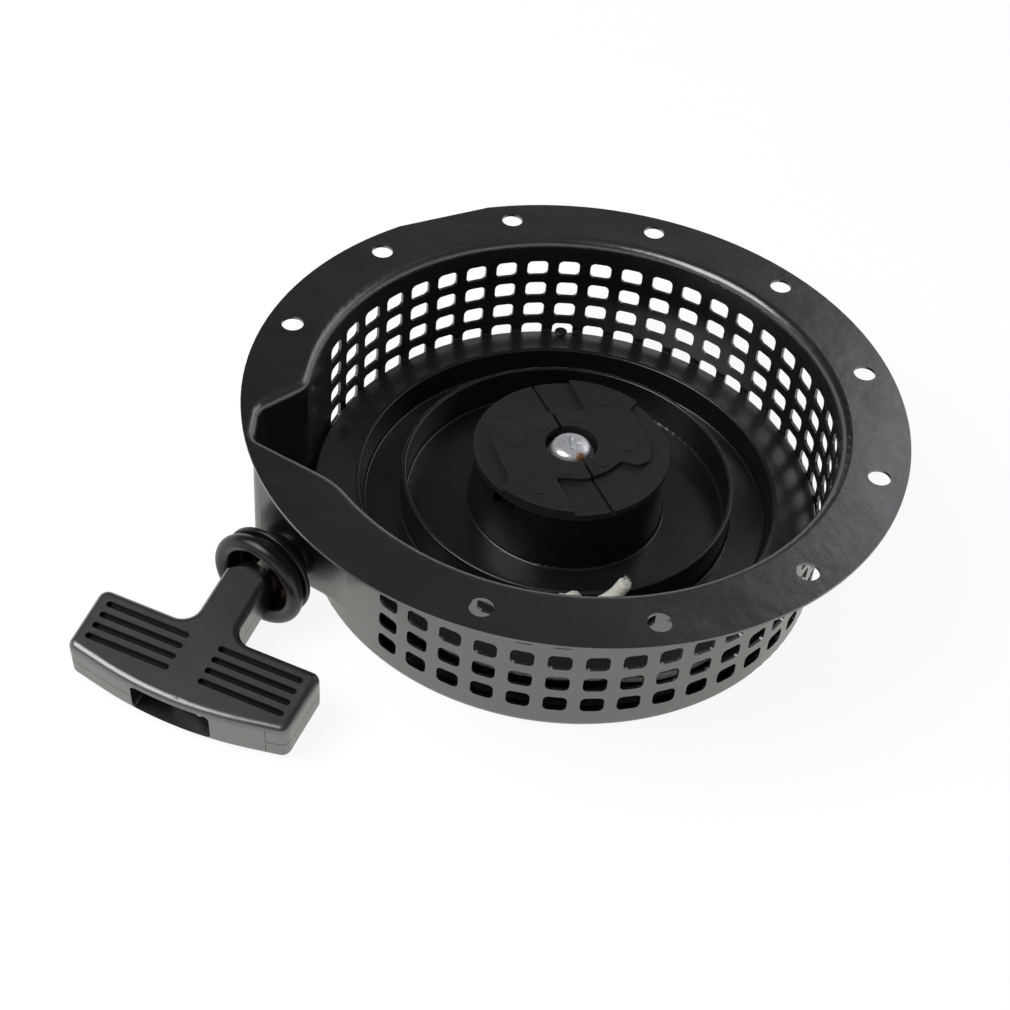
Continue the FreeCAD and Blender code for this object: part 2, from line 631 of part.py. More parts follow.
def spring_turn_radii():
    """Radius of each half turn of the spring's strip, from the hub to the case."""
    inner = HUB_R + STRIP_END_GAP + STRIP_THICKNESS / 2
    outer = CASE_R - CASE_WALL - STRIP_END_GAP - STRIP_THICKNESS / 2
    step = (outer - inner) / (SPRING_HALF_TURNS - 1)
    return [inner + index * step for index in range(SPRING_HALF_TURNS)]


def spring_pin_place():
    """The centre of the hook at the strip's outer end."""
    radii = spring_turn_radii()
    step = radii[1] - radii[0]
    shift = step if SPRING_HALF_TURNS % 2 == 0 else 0.0
    side = -1 if SPRING_HALF_TURNS % 2 else 1
    return V(side * (radii[-1] - SPRING_HOOK_R) + shift, 0, 0)


def make_spring_case():
    cup = disc(CASE_R, RAISED_FLOOR_Z, CASE_TOP_Z)
    cup = cup.cut(disc(CASE_R - CASE_WALL, CASE_FLOOR_TOP_Z, CASE_TOP_Z + 1))
    holes = [disc(POST_RIVET_R, RAISED_FLOOR_Z - 1, CASE_FLOOR_TOP_Z + 1),
             disc(SPRING_PIN_R, RAISED_FLOOR_Z - 1, CASE_FLOOR_TOP_Z + 1, spring_pin_place())]
    for place in case_rivet_places():
        holes.append(disc(CASE_RIVET_R, RAISED_FLOOR_Z - 1, CASE_FLOOR_TOP_Z + 1, place))
    return cup.cut(holes)


def make_case_rivets():
    rivets = []
    for place in case_rivet_places():
        shank = disc(CASE_RIVET_R, RAISED_UNDERSIDE_Z, CASE_FLOOR_TOP_Z, place)
        head_bottom = RAISED_UNDERSIDE_Z - CASE_RIVET_HEAD_THICKNESS
        head = disc(CASE_RIVET_HEAD_R, head_bottom, RAISED_UNDERSIDE_Z, place)
        rivets.append(shank.fuse(head))
    return Part.Compound(rivets)


def half_ring(centre, radius, side):
    """Half a turn of the spring's strip, on the side of positive or negative Y."""
    low = STRIP_BOTTOM_Z
    high = STRIP_TOP_Z
    whole = ring(radius + STRIP_THICKNESS / 2, radius - STRIP_THICKNESS / 2, low, high, centre)
    reach = radius + SPRING_HOOK_R
    if side > 0:
        keep = block(V(centre.x - reach, 0, low - 1), V(centre.x + reach, reach, high + 1))
    else:
        keep = block(V(centre.x - reach, -reach, low - 1), V(centre.x + reach, 0, high + 1))
    return whole.common(keep)


def make_mainspring():
    """A spiral strip made of half turns whose radius grows, with a hook at its outer end."""
    radii = spring_turn_radii()
    step = radii[1] - radii[0]
    halves = []
    for index, radius in enumerate(radii):
        centre = V(0, 0, 0) if index % 2 == 0 else V(step, 0, 0)
        side = 1 if index % 2 == 0 else -1
        halves.append(half_ring(centre, radius, side))
    pin = spring_pin_place()
    side = 1 if SPRING_HALF_TURNS % 2 == 0 else -1
    hook = ring(SPRING_HOOK_R + STRIP_THICKNESS / 2, SPRING_HOOK_R - STRIP_THICKNESS / 2,
                STRIP_BOTTOM_Z, STRIP_TOP_Z, pin)
    beyond = 2 * SPRING_HOOK_R
    gap = block(V(-SPRING_HOOK_OVERLAP, 0, STRIP_BOTTOM_Z - 1), V(beyond, beyond, STRIP_TOP_Z + 1))
    gap = gap if side > 0 else gap.mirror(V(0, 0, 0), V(1, 0, 0))
    gap = gap.copy()
    gap.translate(V(pin.x, 0, 0))
    halves.append(hook.cut(gap))
    return fused(halves)


def make_spring_pin():
    return disc(SPRING_PIN_R, RAISED_FLOOR_Z, STRIP_TOP_Z, spring_pin_place())


# ---------------------------------------------------------------- centre post, screw and washers
def make_centre_post():
    neck = disc(POST_RIVET_R, RAISED_UNDERSIDE_Z, CASE_FLOOR_TOP_Z)
    head = disc(POST_RIVET_HEAD_R, RAISED_UNDERSIDE_Z - POST_RIVET_HEAD_THICKNESS, RAISED_UNDERSIDE_Z)
    base = disc(POST_BASE_R, CASE_FLOOR_TOP_Z, POST_BASE_TOP_Z)
    shank = disc(POST_R, POST_BASE_TOP_Z, SHOULDER_Z)
    spigot = disc(SPIGOT_R, SHOULDER_Z, SPIGOT_TOP_Z)
    tapped = disc(SCREW_R, WASHER_TOP_Z - SCREW_LENGTH, SPIGOT_TOP_Z + 1)
    return fused([neck, head, base, shank, spigot]).cut(tapped)


def make_thrust_washer():
    top = POST_BASE_TOP_Z + THRUST_WASHER_THICKNESS
    return ring(THRUST_WASHER_R, POST_R + RUNNING, POST_BASE_TOP_Z, top)


def make_friction_washer():
    low = PLATE_WELL_Z + SEAT / 2
    return ring(WASHER_R, SPIGOT_R + RUNNING, low, low + FRICTION_WASHER_THICKNESS)


def make_screw_washer():
    return ring(WASHER_R, SCREW_R + RUNNING, SPIGOT_TOP_Z, WASHER_TOP_Z)


def make_centre_screw():
    head = disc(SCREW_HEAD_R, WASHER_TOP_Z, SCREW_HEAD_TOP_Z)
    head = head.makeFillet(SCREW_HEAD_THICKNESS / 3, flat_edges(head, SCREW_HEAD_TOP_Z, SCREW_HEAD_R + 1))
    shank = disc(SCREW_R, WASHER_TOP_Z - SCREW_LENGTH, WASHER_TOP_Z)
    half_length = SCREW_CROSS_LENGTH / 2
    half_width = SCREW_CROSS_WIDTH / 2
    bottom = SCREW_HEAD_TOP_Z - SCREW_CROSS_DEPTH
    top = SCREW_HEAD_TOP_Z + 1
    along = block(V(-half_length, -half_width, bottom), V(half_length, half_width, top))
    across = block(V(-half_width, -half_length, bottom), V(half_width, half_length, top))
    return head.fuse(shank).cut([along, across])


# ---------------------------------------------------------------- reel
def flange_height(radius):
    """Height of the reel's sloping top flange at a radius."""
    share = (radius - RIM_R) / (TOP_FLANGE_R - RIM_R)
    return RIM_Z + share * (TOP_FLANGE_EDGE_Z - RIM_Z)


def pawl_pocket(angle):
    """The cutter of one pawl's pocket: the room that the pawl sweeps, with a side gap."""
    bar = pawl_outline_solid(SIDE_GAP, POCKET_FLOOR_Z, DECK_Z + 1)
    height = DECK_Z + 1 - POCKET_FLOOR_Z
    sweep = Part.makeCylinder(PAWL_LENGTH + SIDE_GAP, height, V(0, 0, POCKET_FLOOR_Z), UP, abs(PAWL_SWING))
    swung = placed_pawl(bar, angle, PAWL_SWING)
    return fused([placed_pawl(bar, angle, 0), swung, placed_pawl(sweep, angle, PAWL_SWING)])


def make_reel():
    under_flange = TOP_FLANGE_THICKNESS
    hub_bore = POST_R + RUNNING + BUSH_WALL
    rim_inner = RIM_R - RIM_WIDTH
    drum_inner = DRUM_R - DRUM_WALL
    ring_inner = RING_OUTER_R - RING_WIDTH
    lower_bottom = LOWER_FLANGE_TOP_Z - LOWER_FLANGE_THICKNESS
    well_r = PLATE_HUB_R + SIDE_GAP
    profile = [(hub_bore, HUB_TOP_Z), (hub_bore, HUB_BOTTOM_Z), (HUB_R, HUB_BOTTOM_Z),
               (HUB_R, DECK_BOTTOM_Z),
               (drum_inner, DECK_BOTTOM_Z), (drum_inner, WEB_BOTTOM_Z), (CORE_INNER_R, WEB_BOTTOM_Z),
               (CORE_INNER_R, lower_bottom), (LOWER_FLANGE_R, lower_bottom),
               (LOWER_FLANGE_R, LOWER_FLANGE_TOP_Z),
               (CORE_R, LOWER_FLANGE_TOP_Z), (CORE_R, flange_height(CORE_R) - under_flange),
               (TOP_FLANGE_R, TOP_FLANGE_EDGE_Z - under_flange), (TOP_FLANGE_R, TOP_FLANGE_EDGE_Z),
               (RIM_R, RIM_Z), (rim_inner, RIM_Z), (CORE_INNER_R, WEB_TOP_Z), (RING_OUTER_R, WEB_TOP_Z),
               (RING_OUTER_R, RING_TOP_Z), (ring_inner, RING_TOP_Z), (ring_inner, WEB_TOP_Z),
               (DRUM_R, WEB_TOP_Z), (DRUM_TOP_R, DECK_Z), (well_r, DECK_Z), (well_r, HUB_TOP_Z)]
    radii = [0.0] * len(profile)
    radii[12] = radii[13] = FLANGE_EDGE_ROUND
    radii[14] = radii[15] = RIM_EDGE_ROUND
    radii[16] = radii[17] = radii[20] = radii[21] = WEB_CORNER_ROUND
    radii[18] = radii[19] = RING_EDGE_ROUND
    reel = turned(profile, radii)
    pockets = [pawl_pocket(angle) for angle in PAWL_PIVOT_ANGLES]
    pins = [disc(PAWL_PIN_R, DECK_BOTTOM_Z, DECK_Z, pawl_pivot(angle)) for angle in PAWL_PIVOT_ANGLES]
    rope_room = rope_along(reel_entry_points(), ROPE_R + SEAT, "rope hole")
    below_flange = TOP_FLANGE_EDGE_Z - 2 * under_flange
    stud_hole = disc(STUD_STEM_R, below_flange, STUD_TOP_Z, polar(STUD_CIRCLE_R, STUD_ANGLE))
    notch = disc(NOTCH_R, below_flange, RIM_Z, polar(TOP_FLANGE_R, NOTCH_ANGLE))
    return reel.cut(pockets + pins + [rope_room, stud_hole, notch])


def make_reel_bush():
    return ring(POST_R + RUNNING + BUSH_WALL, POST_R + RUNNING, HUB_BOTTOM_Z, HUB_TOP_Z)


def make_reel_stud():
    place = polar(STUD_CIRCLE_R, STUD_ANGLE)
    head = disc(STUD_HEAD_R, STUD_TOP_Z - STUD_HEAD_THICKNESS, STUD_TOP_Z, place)
    head = head.makeFillet(STUD_HEAD_THICKNESS / 2, [head.Edges[0]])
    stem_bottom = flange_height(STUD_CIRCLE_R) - TOP_FLANGE_THICKNESS
    return head.fuse(disc(STUD_STEM_R, stem_bottom, STUD_TOP_Z - STUD_HEAD_THICKNESS, place))


# ---------------------------------------------------------------- guide plate
def plateau_outline():
    """The plan of the raised area: two arcs on the plate's rim joined by two stepped edges."""
    edge = [polar(PLATE_R, PLATEAU_START_ANGLE)]
    edge += [polar(PLATE_R * share, angle) for share, angle, rounding in PLATEAU_CORNERS]
    edge += [polar(PLATE_R, PLATEAU_END_ANGLE)]
    half = rounded_edges(edge, [PLATE_R * rounding for share, angle, rounding in PLATEAU_CORNERS])
    middle = (PLATEAU_START_ANGLE + 180 + PLATEAU_END_ANGLE) / 2
    arc_end = polar(PLATE_R, PLATEAU_START_ANGLE + 180)
    half.append(Part.Arc(edge[-1], polar(PLATE_R, middle), arc_end).toShape())
    other = []
    for piece in half:
        turned_piece = piece.copy()
        turned_piece.rotate(V(0, 0, 0), UP, 180)
        other.append(turned_piece)
    return Part.Wire(half + other)


def cam_pin_place(angle, swing):
    """The centre of a pawl's cam pin when that pawl has swung by an angle."""
    heading = angle + 90 + PAWL_REST_TILT + swing
    return pawl_pivot(angle) + polar(CAM_PIN_DISTANCE, heading)


def cam_slot(angle):
    """The cutter of the slot in the plate's underside that leads one cam pin."""
    places = []
    for step in range(CAM_SLOT_STEPS + 1):
        share = step / CAM_SLOT_STEPS
        pin = cam_pin_place(angle, PAWL_SWING * share)
        undo = FreeCAD.Rotation(UP, -PLATE_TURN * share)
        places.append(undo.multVec(pin))
    top = DECK_Z + CAM_PIN_HEIGHT + CAM_SLOT_ROOF
    pieces = [capsule(start, end, CAM_PIN_R + SIDE_GAP, PLATE_UNDERSIDE_Z - 1, top)
              for start, end in zip(places, places[1:])]
    return fused(pieces)


def make_guide_plate():
    plate = disc(PLATE_R, PLATE_UNDERSIDE_Z, PLATE_TOP_Z)
    plateau = prism(plateau_outline(), PLATE_UNDERSIDE_Z, PLATEAU_Z)
    hub = disc(PLATE_HUB_R, PLATE_HUB_BOTTOM_Z, PLATE_TOP_Z)
    ejectors = []
    for share, angle in EJECTOR_PLACES:
        for turn in (0, 180):
            place = polar(PLATE_R * share, angle + turn)
            ejectors.append(disc(EJECTOR_R, PLATE_TOP_Z, PLATEAU_Z + EJECTOR_HEIGHT, place))
    body = fused([plate, plateau, hub] + ejectors)
    well = disc(PLATE_WELL_R, PLATE_WELL_Z, PLATEAU_Z + 1)
    bore = disc(SPIGOT_R + RUNNING, PLATE_HUB_BOTTOM_Z - 1, PLATE_WELL_Z + 1)
    slits = []
    for turn in (0, 180):
        slit = block(V(PLATE_WELL_R - 1, -SLIT_WIDTH / 2, PLATE_TOP_Z - SLIT_DEPTH),
                     V(PLATE_R + 1, SLIT_WIDTH / 2, PLATEAU_Z + 1))
        slit.rotate(V(0, 0, 0), UP, SLIT_ANGLE + turn)
        slits.append(slit)
    slots = [cam_slot(angle) for angle in PAWL_PIVOT_ANGLES]
    return body.cut([well, bore] + slits + slots)


# ---------------------------------------------------------------- pawls
def pawl_pivot(angle):
    return polar(PAWL_PIVOT_R, angle)


def pawl_outline_solid(grow, low, high):
    """A pawl's plain shape along +X from its pivot at the origin, grown all round by a distance."""
    root = PAWL_HALF_WIDTH + grow
    tip = PAWL_TIP_HALF_WIDTH + grow
    tip_centre = PAWL_LENGTH - PAWL_TIP_HALF_WIDTH
    corners = [V(0, -root, 0), V(tip_centre, -tip, 0), V(tip_centre + tip, -tip, 0),
               V(tip_centre + tip, tip, 0), V(tip_centre, tip, 0), V(0, root, 0)]
    bar = prism(rounded_outline(corners, [0, 0, PAWL_TIP_CORNER_R, PAWL_TIP_CORNER_R, 0, 0]), low, high)
    return bar.fuse(disc(root, low, high))


def placed_pawl(solid, angle, swing):
    """A pawl drawn along +X, put on its pivot on the reel and swung from rest."""
    copy = solid.copy()
    copy.rotate(V(0, 0, 0), UP, angle + 90 + PAWL_REST_TILT + swing)
    copy.translate(pawl_pivot(angle))
    return copy


def make_pawl(angle):
    bar = pawl_outline_solid(0, PAWL_BOTTOM_Z, PAWL_TOP_Z)
    cam_pin = disc(CAM_PIN_R, PAWL_TOP_Z, DECK_Z + CAM_PIN_HEIGHT, V(CAM_PIN_DISTANCE, 0, 0))
    bore = disc(PAWL_PIN_R + RUNNING, PAWL_BOTTOM_Z - 1, PAWL_TOP_Z + 1)
    return placed_pawl(bar.fuse(cam_pin).cut(bore), angle, 0)


def make_pawl_pins():
    pins = [disc(PAWL_PIN_R, DECK_BOTTOM_Z, DECK_Z, pawl_pivot(angle)) for angle in PAWL_PIVOT_ANGLES]
    return Part.Compound(pins)


def make_pawl_springs():
    """A coil round each pivot pin, below the pawl, with one leg along it."""
    height = POCKET_FLOOR_Z + SEAT + SPRING_WIRE_R
    springs = []
    for angle in PAWL_PIVOT_ANGLES:
        coil = Part.makeTorus(PAWL_SPRING_R, SPRING_WIRE_R, V(0, 0, height))
        leg_start = V(0, PAWL_SPRING_R - SPRING_WIRE_R / 2, height)
        leg = Part.makeCylinder(SPRING_WIRE_R, PAWL_SPRING_LEG, leg_start, V(1, 0, 0))
        springs.append(placed_pawl(coil.fuse(leg), angle, 0))
    return Part.Compound(springs)


# ---------------------------------------------------------------- rope
def winding_start_angle():
    return PULL_AZIMUTH - 90 - 360 * WINDING_TURNS


def first_corner_angle():
    return winding_start_angle() + ROPE_ENTRY_SWEEP + 360 / WINDING_STEPS


def winding_corner_r():
    """How far out the corners of the winding's straight runs are, so that the runs lie on the core."""
    return WINDING_R / math.cos(math.radians(180 / WINDING_STEPS))


def reel_entry_points():
    """The rope's route from the groove down through the web and out to the rope channel."""
    angle = winding_start_angle()
    top = polar(ROPE_HOLE_R, angle, ROPE_HOLE_TOP_Z)
    drop = polar(ROPE_HOLE_R, angle, WINDING_START_Z + ROPE_HOLE_DROP)
    outer = polar(CORE_R, angle + ROPE_ENTRY_SWEEP, WINDING_START_Z)
    lowest = polar(ROPE_HOLE_R, angle, WINDING_START_Z)
    swing = lowest + (outer - lowest).normalize() * ROPE_HOLE_DROP
    on_core = polar(winding_corner_r() + ROPE_ENTRY_STANDOFF, first_corner_angle(), WINDING_START_Z)
    return [top, drop, swing, outer, on_core]


def winding_points():
    """The rope's route round the reel, up to where it leaves."""
    points = reel_entry_points()
    first = first_corner_angle()
    end = PULL_AZIMUTH - 90
    count = round((end - first) * WINDING_STEPS / 360)
    even_step = (end - first) / (count + 0.5)
    rise = (LEAD_START_Z - WINDING_START_Z) / (count + 0.5)
    for index in range(1, count + 1):
        points.append(polar(winding_corner_r(), first + index * even_step, WINDING_START_Z + index * rise))
    points.append(lead_start())
    return points


def make_rope_winding():
    return rope_along(winding_points(), ROPE_R, "rope winding")


def handle_placement():
    """The handle's frame: its nose is on the line of pull."""
    yaw = FreeCAD.Rotation(UP, HANDLE_YAW)
    pitch = FreeCAD.Rotation(V(1, 0, 0), HANDLE_PITCH)
    roll = FreeCAD.Rotation(V(0, 1, 0), HANDLE_ROLL)
    rotation = yaw.multiply(pitch).multiply(roll)
    bend = lead_start() + pull_direction() * (lip_crossing() - NOSE_DEPTH)
    return FreeCAD.Placement(bend - rotation.multVec(V(0, ROPE_BEND_Y, 0)), rotation)


def in_handle(solid):
    """A solid drawn in the handle's frame, moved to where the handle rests."""
    placed = solid.copy()
    placed.Placement = handle_placement()
    return placed


def make_rope_lead():
    """The rope that slides out: from the reel through the guide and up the handle to its knot."""
    placement = handle_placement()
    bend = placement.multVec(V(0, ROPE_BEND_Y, 0))
    knot_end = placement.multVec(V(0, -CHAMBER_BACK, 0))
    start = lead_start() + pull_direction() * LEAD_GAP
    before = bend - pull_direction() * ROPE_BEND_REACH
    after = bend + (knot_end - bend).normalize() * ROPE_BEND_REACH
    bend_radius = ROPE_BEND_REACH / math.tan((bend - before).getAngle(after - bend) / 2)
    arc = corner_arc(before, bend, after, bend_radius).toShape()
    outside = Part.makeLine(start, arc.Vertexes[0].Point)
    inside = Part.makeLine(arc.Vertexes[-1].Point, knot_end)
    edges = [outside, arc, inside]
    section = Part.Wire(Part.makeCircle(ROPE_R, start, pull_direction()))
    route = Part.Wire(edges)
    print(f"rope lead: length {route.Length:.1f}")
    return route.makePipeShell([section], True, True)


def knot(tilts):
    """An overhand knot's lump about the origin: two crossing loops of the rope, tilted out of level."""
    first = Part.makeTorus(KNOT_R, ROPE_R)
    second = Part.makeTorus(KNOT_R + SEAT, ROPE_R)
    first.rotate(V(0, 0, 0), V(1, 0, 0), tilts[0])
    second.rotate(V(0, 0, 0), V(1, 0, 0), tilts[1])
    second.rotate(V(0, 0, 0), UP, KNOT_LEAN)
    return first.fuse(second)


def make_reel_knot():
    """The knot on the reel's web, with the rope's end standing out of it."""
    angle = winding_start_angle()
    top = polar(ROPE_HOLE_R, angle, ROPE_HOLE_TOP_Z)
    centre = polar(ROPE_HOLE_R, angle, ROPE_HOLE_TOP_Z + KNOT_LIFT + KNOT_R + ROPE_R)
    lump = knot(REEL_KNOT_TILTS)
    lump.translate(centre)
    foot = polar(ROPE_HOLE_R - TAIL_INSET, angle + TAIL_FOOT_SWEEP, centre.z + TAIL_FOOT_RISE)
    end = polar(ROPE_HOLE_R - TAIL_INSET, angle + TAIL_TOP_SWEEP, centre.z + TAIL_TOP_RISE)
    tail = rope_along([centre, foot, end], ROPE_R, "rope tail")
    neck = disc(ROPE_R, top.z, centre.z, top)
    return fused([lump, tail, neck])


def make_handle_knot():
    """The knot in the handle's chamber, with the rope's end turned towards the window."""
    lump = knot(HANDLE_KNOT_TILTS)
    front = -CHAMBER_BACK - KNOT_WASHER_THICKNESS
    centre = V(HANDLE_KNOT_SIDE, front - KNOT_R - ROPE_R, 0)
    lump.translate(centre)
    stub = Part.makeCylinder(ROPE_R, KNOT_WASHER_THICKNESS + KNOT_R, V(0, front - KNOT_R, 0), V(0, 1, 0))
    bend = V(HANDLE_TAIL_BEND, -HANDLE_TAIL_BEND_FRONT, HANDLE_TAIL_BEND_RISE)
    end = V(HANDLE_TAIL_SIDE, -HANDLE_TAIL_FRONT, HANDLE_TAIL_RISE)
    tail = rope_along([centre, bend, end], ROPE_R, "rope end in the handle")
    return in_handle(fused([lump, stub, tail]))


def make_knot_washer():
    start = V(0, -CHAMBER_BACK - KNOT_WASHER_THICKNESS, 0)
    along = V(0, 1, 0)
    plate = Part.makeCylinder(KNOT_WASHER_R, KNOT_WASHER_THICKNESS, start, along)
    bore = Part.makeCylinder(ROPE_R + RUNNING, KNOT_WASHER_THICKNESS + 2, start - along, along)
    return in_handle(plate.cut(bore))


# ---------------------------------------------------------------- handle
def handle_body():
    """The whole handle without its cavities, in its own frame."""
    half_bar = BAR_LENGTH / 2
    half_front = half_bar - BAR_END_DRAFT
    half_stem = STEM_WIDTH / 2
    half_thickness = BAR_THICKNESS / 2
    corners = [V(half_stem, NOSE_END, 0), V(-half_stem, NOSE_END, 0), V(-half_stem, 0, 0),
               V(-half_bar, 0, 0),
               V(-half_front, -BAR_END_DEPTH, 0), V(0, -BAR_END_DEPTH - BAR_BULGE, 0),
               V(half_front, -BAR_END_DEPTH, 0), V(half_bar, 0, 0), V(half_stem, 0, 0)]
    radii = [0, 0, STEM_FILLET_R, BAR_CORNER_R, BAR_CORNER_R, BAR_BULGE_R, BAR_CORNER_R, BAR_CORNER_R,
             STEM_FILLET_R]
    body = prism(rounded_outline(corners, radii), -half_thickness, half_thickness)
    rims = [edge for edge in body.Edges if abs(edge.BoundBox.ZMax - edge.BoundBox.ZMin) < 1e-4
            and edge.BoundBox.YMin < NOSE_END - 1e-4]
    body = body.makeFillet(BAR_EDGE_R, rims)
    beyond = block(V(-half_bar, STEM_LENGTH, -BAR_THICKNESS), V(half_bar, NOSE_END + 1, BAR_THICKNESS))
    nose = Part.makeCone(NOSE_BASE_R, NOSE_TIP_R, NOSE_LENGTH, V(0, STEM_LENGTH, 0), V(0, 1, 0))
    return body.cut(beyond.cut(nose))


def grip_grooves():
    """The cutters of the finger grooves on both faces of the bar."""
    cutters = []
    half_thickness = BAR_THICKNESS / 2
    radius = GRIP_GROOVE_WIDTH / 2
    for side in (-1, 1):
        for index in range(GRIP_GROOVES):
            y = -GRIP_GROOVE_FIRST - index * GRIP_GROOVE_PITCH
            inner = V(side * (GRIP_GROOVE_INNER + radius), y, 0)
            outer = V(side * (GRIP_GROOVE_OUTER - radius), y, 0)
            upper = capsule(inner, outer, radius, half_thickness - GRIP_GROOVE_DEPTH, half_thickness + 1)
            lower = capsule(inner, outer, radius, -half_thickness - 1, -half_thickness + GRIP_GROOVE_DEPTH)
            cutters += [upper, lower]
    return cutters


def front_depth():
    """Further forward than any part of the bar."""
    return BAR_END_DEPTH + BAR_BULGE


def insert_room():
    """The slot behind the bar's front edge that the insert closes."""
    half = INSERT_HEIGHT / 2
    back = INSERT_DEPTH - BAR_END_DEPTH
    return block(V(CHAMBER_RIGHT, -front_depth(), -half), V(INSERT_RIGHT, back, half))


def handle_cavities():
    half = CHAMBER_HEIGHT / 2
    chamber = block(V(-CHAMBER_LEFT, -front_depth(), -half), V(CHAMBER_RIGHT, -CHAMBER_BACK, half))
    lengthwise = [edge for edge in chamber.Edges if edge.BoundBox.YLength > CHAMBER_BACK / 2]
    chamber = chamber.makeFillet(CHAMBER_CORNER_R, lengthwise)
    bore_start = V(0, -CHAMBER_BACK - 1, 0)
    bore = Part.makeCylinder(HANDLE_BORE_R, NOSE_END + CHAMBER_BACK + 2, bore_start, V(0, 1, 0))
    return [chamber, bore, insert_room()]


def make_handle_half(side):
    """The upper half for side 1, the lower half for side -1."""
    reach = BAR_LENGTH
    far = BAR_THICKNESS
    if side > 0:
        keep = block(V(-reach, -reach, 0), V(reach, reach, far))
    else:
        keep = block(V(-reach, -reach, -far), V(reach, reach, 0))
    return in_handle(handle_body().common(keep).cut(handle_cavities() + grip_grooves()))


def make_handle_insert():
    room = insert_room()
    return in_handle(handle_body().common(room))


# ---------------------------------------------------------------- output
NODES = {
    "housing": make_housing,
    "rope_guide": make_rope_guide,
    "guide_eyelet": make_guide_eyelet,
    "centre_post": make_centre_post,
    "thrust_washer": make_thrust_washer,
    "spring_case": make_spring_case,
    "case_rivets": make_case_rivets,
    "mainspring": make_mainspring,
    "spring_pin": make_spring_pin,
    "friction_washer": make_friction_washer,
    "screw_washer": make_screw_washer,
    "centre_screw": make_centre_screw,
    "reel": make_reel,
    "reel_bush": make_reel_bush,
    "reel_stud": make_reel_stud,
    "rope_winding": make_rope_winding,
    "reel_knot": make_reel_knot,
    "pawl_pins": make_pawl_pins,
    "pawl_springs": make_pawl_springs,
    "pawl_a": lambda: make_pawl(PAWL_PIVOT_ANGLES[0]),
    "pawl_b": lambda: make_pawl(PAWL_PIVOT_ANGLES[1]),
    "guide_plate": make_guide_plate,
    "rope_lead": make_rope_lead,
    "handle_top": lambda: make_handle_half(1),
    "handle_bottom": lambda: make_handle_half(-1),
    "handle_insert": make_handle_insert,
    "handle_knot": make_handle_knot,
    "knot_washer": make_knot_washer,
}

os.makedirs("parts", exist_ok=True)
for name, make in NODES.items():
    shape = make()
    shape.exportStep(f"parts/{name}.step")
    print(f"{name}: {len(shape.Solids)} solid(s), valid {shape.isValid()}, volume {shape.Volume:.0f}")
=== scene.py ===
"""Looks of the recoil starter: materials, rope, screw, floor, light and camera.

Everything is in metres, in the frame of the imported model. MM turns millimetres into metres.
"""
import math
import random

import bmesh
import bpy
from mathutils import Matrix, Vector


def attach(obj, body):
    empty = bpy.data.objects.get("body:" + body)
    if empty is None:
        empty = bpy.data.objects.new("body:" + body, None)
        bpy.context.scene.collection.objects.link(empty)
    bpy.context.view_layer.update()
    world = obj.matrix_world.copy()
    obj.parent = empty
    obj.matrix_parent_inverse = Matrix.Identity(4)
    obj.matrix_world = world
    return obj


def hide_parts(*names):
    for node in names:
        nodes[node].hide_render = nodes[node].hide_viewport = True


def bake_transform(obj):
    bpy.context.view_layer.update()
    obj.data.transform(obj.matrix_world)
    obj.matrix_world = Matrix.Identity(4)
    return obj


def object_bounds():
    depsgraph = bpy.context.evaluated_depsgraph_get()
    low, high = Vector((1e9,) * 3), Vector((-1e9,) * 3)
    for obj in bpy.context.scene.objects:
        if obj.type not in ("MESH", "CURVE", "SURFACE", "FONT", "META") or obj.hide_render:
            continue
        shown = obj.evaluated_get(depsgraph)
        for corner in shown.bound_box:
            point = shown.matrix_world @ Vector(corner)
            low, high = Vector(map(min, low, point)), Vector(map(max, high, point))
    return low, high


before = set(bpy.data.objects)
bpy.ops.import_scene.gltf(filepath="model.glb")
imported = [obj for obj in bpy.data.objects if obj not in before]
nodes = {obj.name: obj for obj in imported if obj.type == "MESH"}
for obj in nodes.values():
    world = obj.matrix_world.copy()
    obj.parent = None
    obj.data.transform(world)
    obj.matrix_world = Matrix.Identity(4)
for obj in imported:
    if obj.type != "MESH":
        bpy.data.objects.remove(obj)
cad_low, cad_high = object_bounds()
MM = 0.001


# ---------------------------------------------------------------- sizes that follow the part's own
ROPE_R = 2.65
WINDING_R = 91.3
WINDING_PITCH = 5.45
WINDING_TURNS = 1.69
WINDING_STEPS = 24
PULL_AZIMUTH = -95.5
PULL_RISE = 2.2
LEAD_START_Z = -57.2
ROPE_HOLE_R = 76.05
ROPE_HOLE_TOP_Z = -52.0
ROPE_HOLE_DROP = 6.0
ROPE_ENTRY_SWEEP = 12.0
ROPE_ENTRY_STANDOFF = 1.2
CORE_R = WINDING_R - ROPE_R
WINDING_START_Z = LEAD_START_Z - WINDING_PITCH * WINDING_TURNS
CORNER_R = WINDING_R / math.cos(math.radians(180 / WINDING_STEPS))
REEL_END_ANGLE = PULL_AZIMUTH - 90
WINDING_START = REEL_END_ANGLE - 360 * WINDING_TURNS
KNOT_CENTRE_RISE = 12.25      # from the top of the reel's rope hole to the middle of the knot
TAIL_INSET = 3.3              # how far nearer the axis the rope's end is than its hole
TAIL_FOOT_SWEEP = 12.6        # from the hole to the foot of the rope's end
TAIL_FOOT_RISE = -5.5         # above the middle of the knot
TAIL_TOP_SWEEP = 17.3
TAIL_TOP_RISE = 8.9
LEAD_GAP = 0.8                # between the winding and the rope that slides out
BEND_DISTANCE = 98.911        # from the reel to the rope's bend in the handle's nose
BEND_REACH = 8.0              # length of rope on each side of the bend that is curved
BEND_FROM_BAR = 35.0          # from the back edge of the handle's bar to that bend
CHAMBER_BACK = 14.0           # from that edge to the wall that the knot pulls on
INSERT_RIGHT = 37.7           # from the middle of the bar to the insert's end
HANDLE_YAW = -4.5
HANDLE_PITCH = 7.9
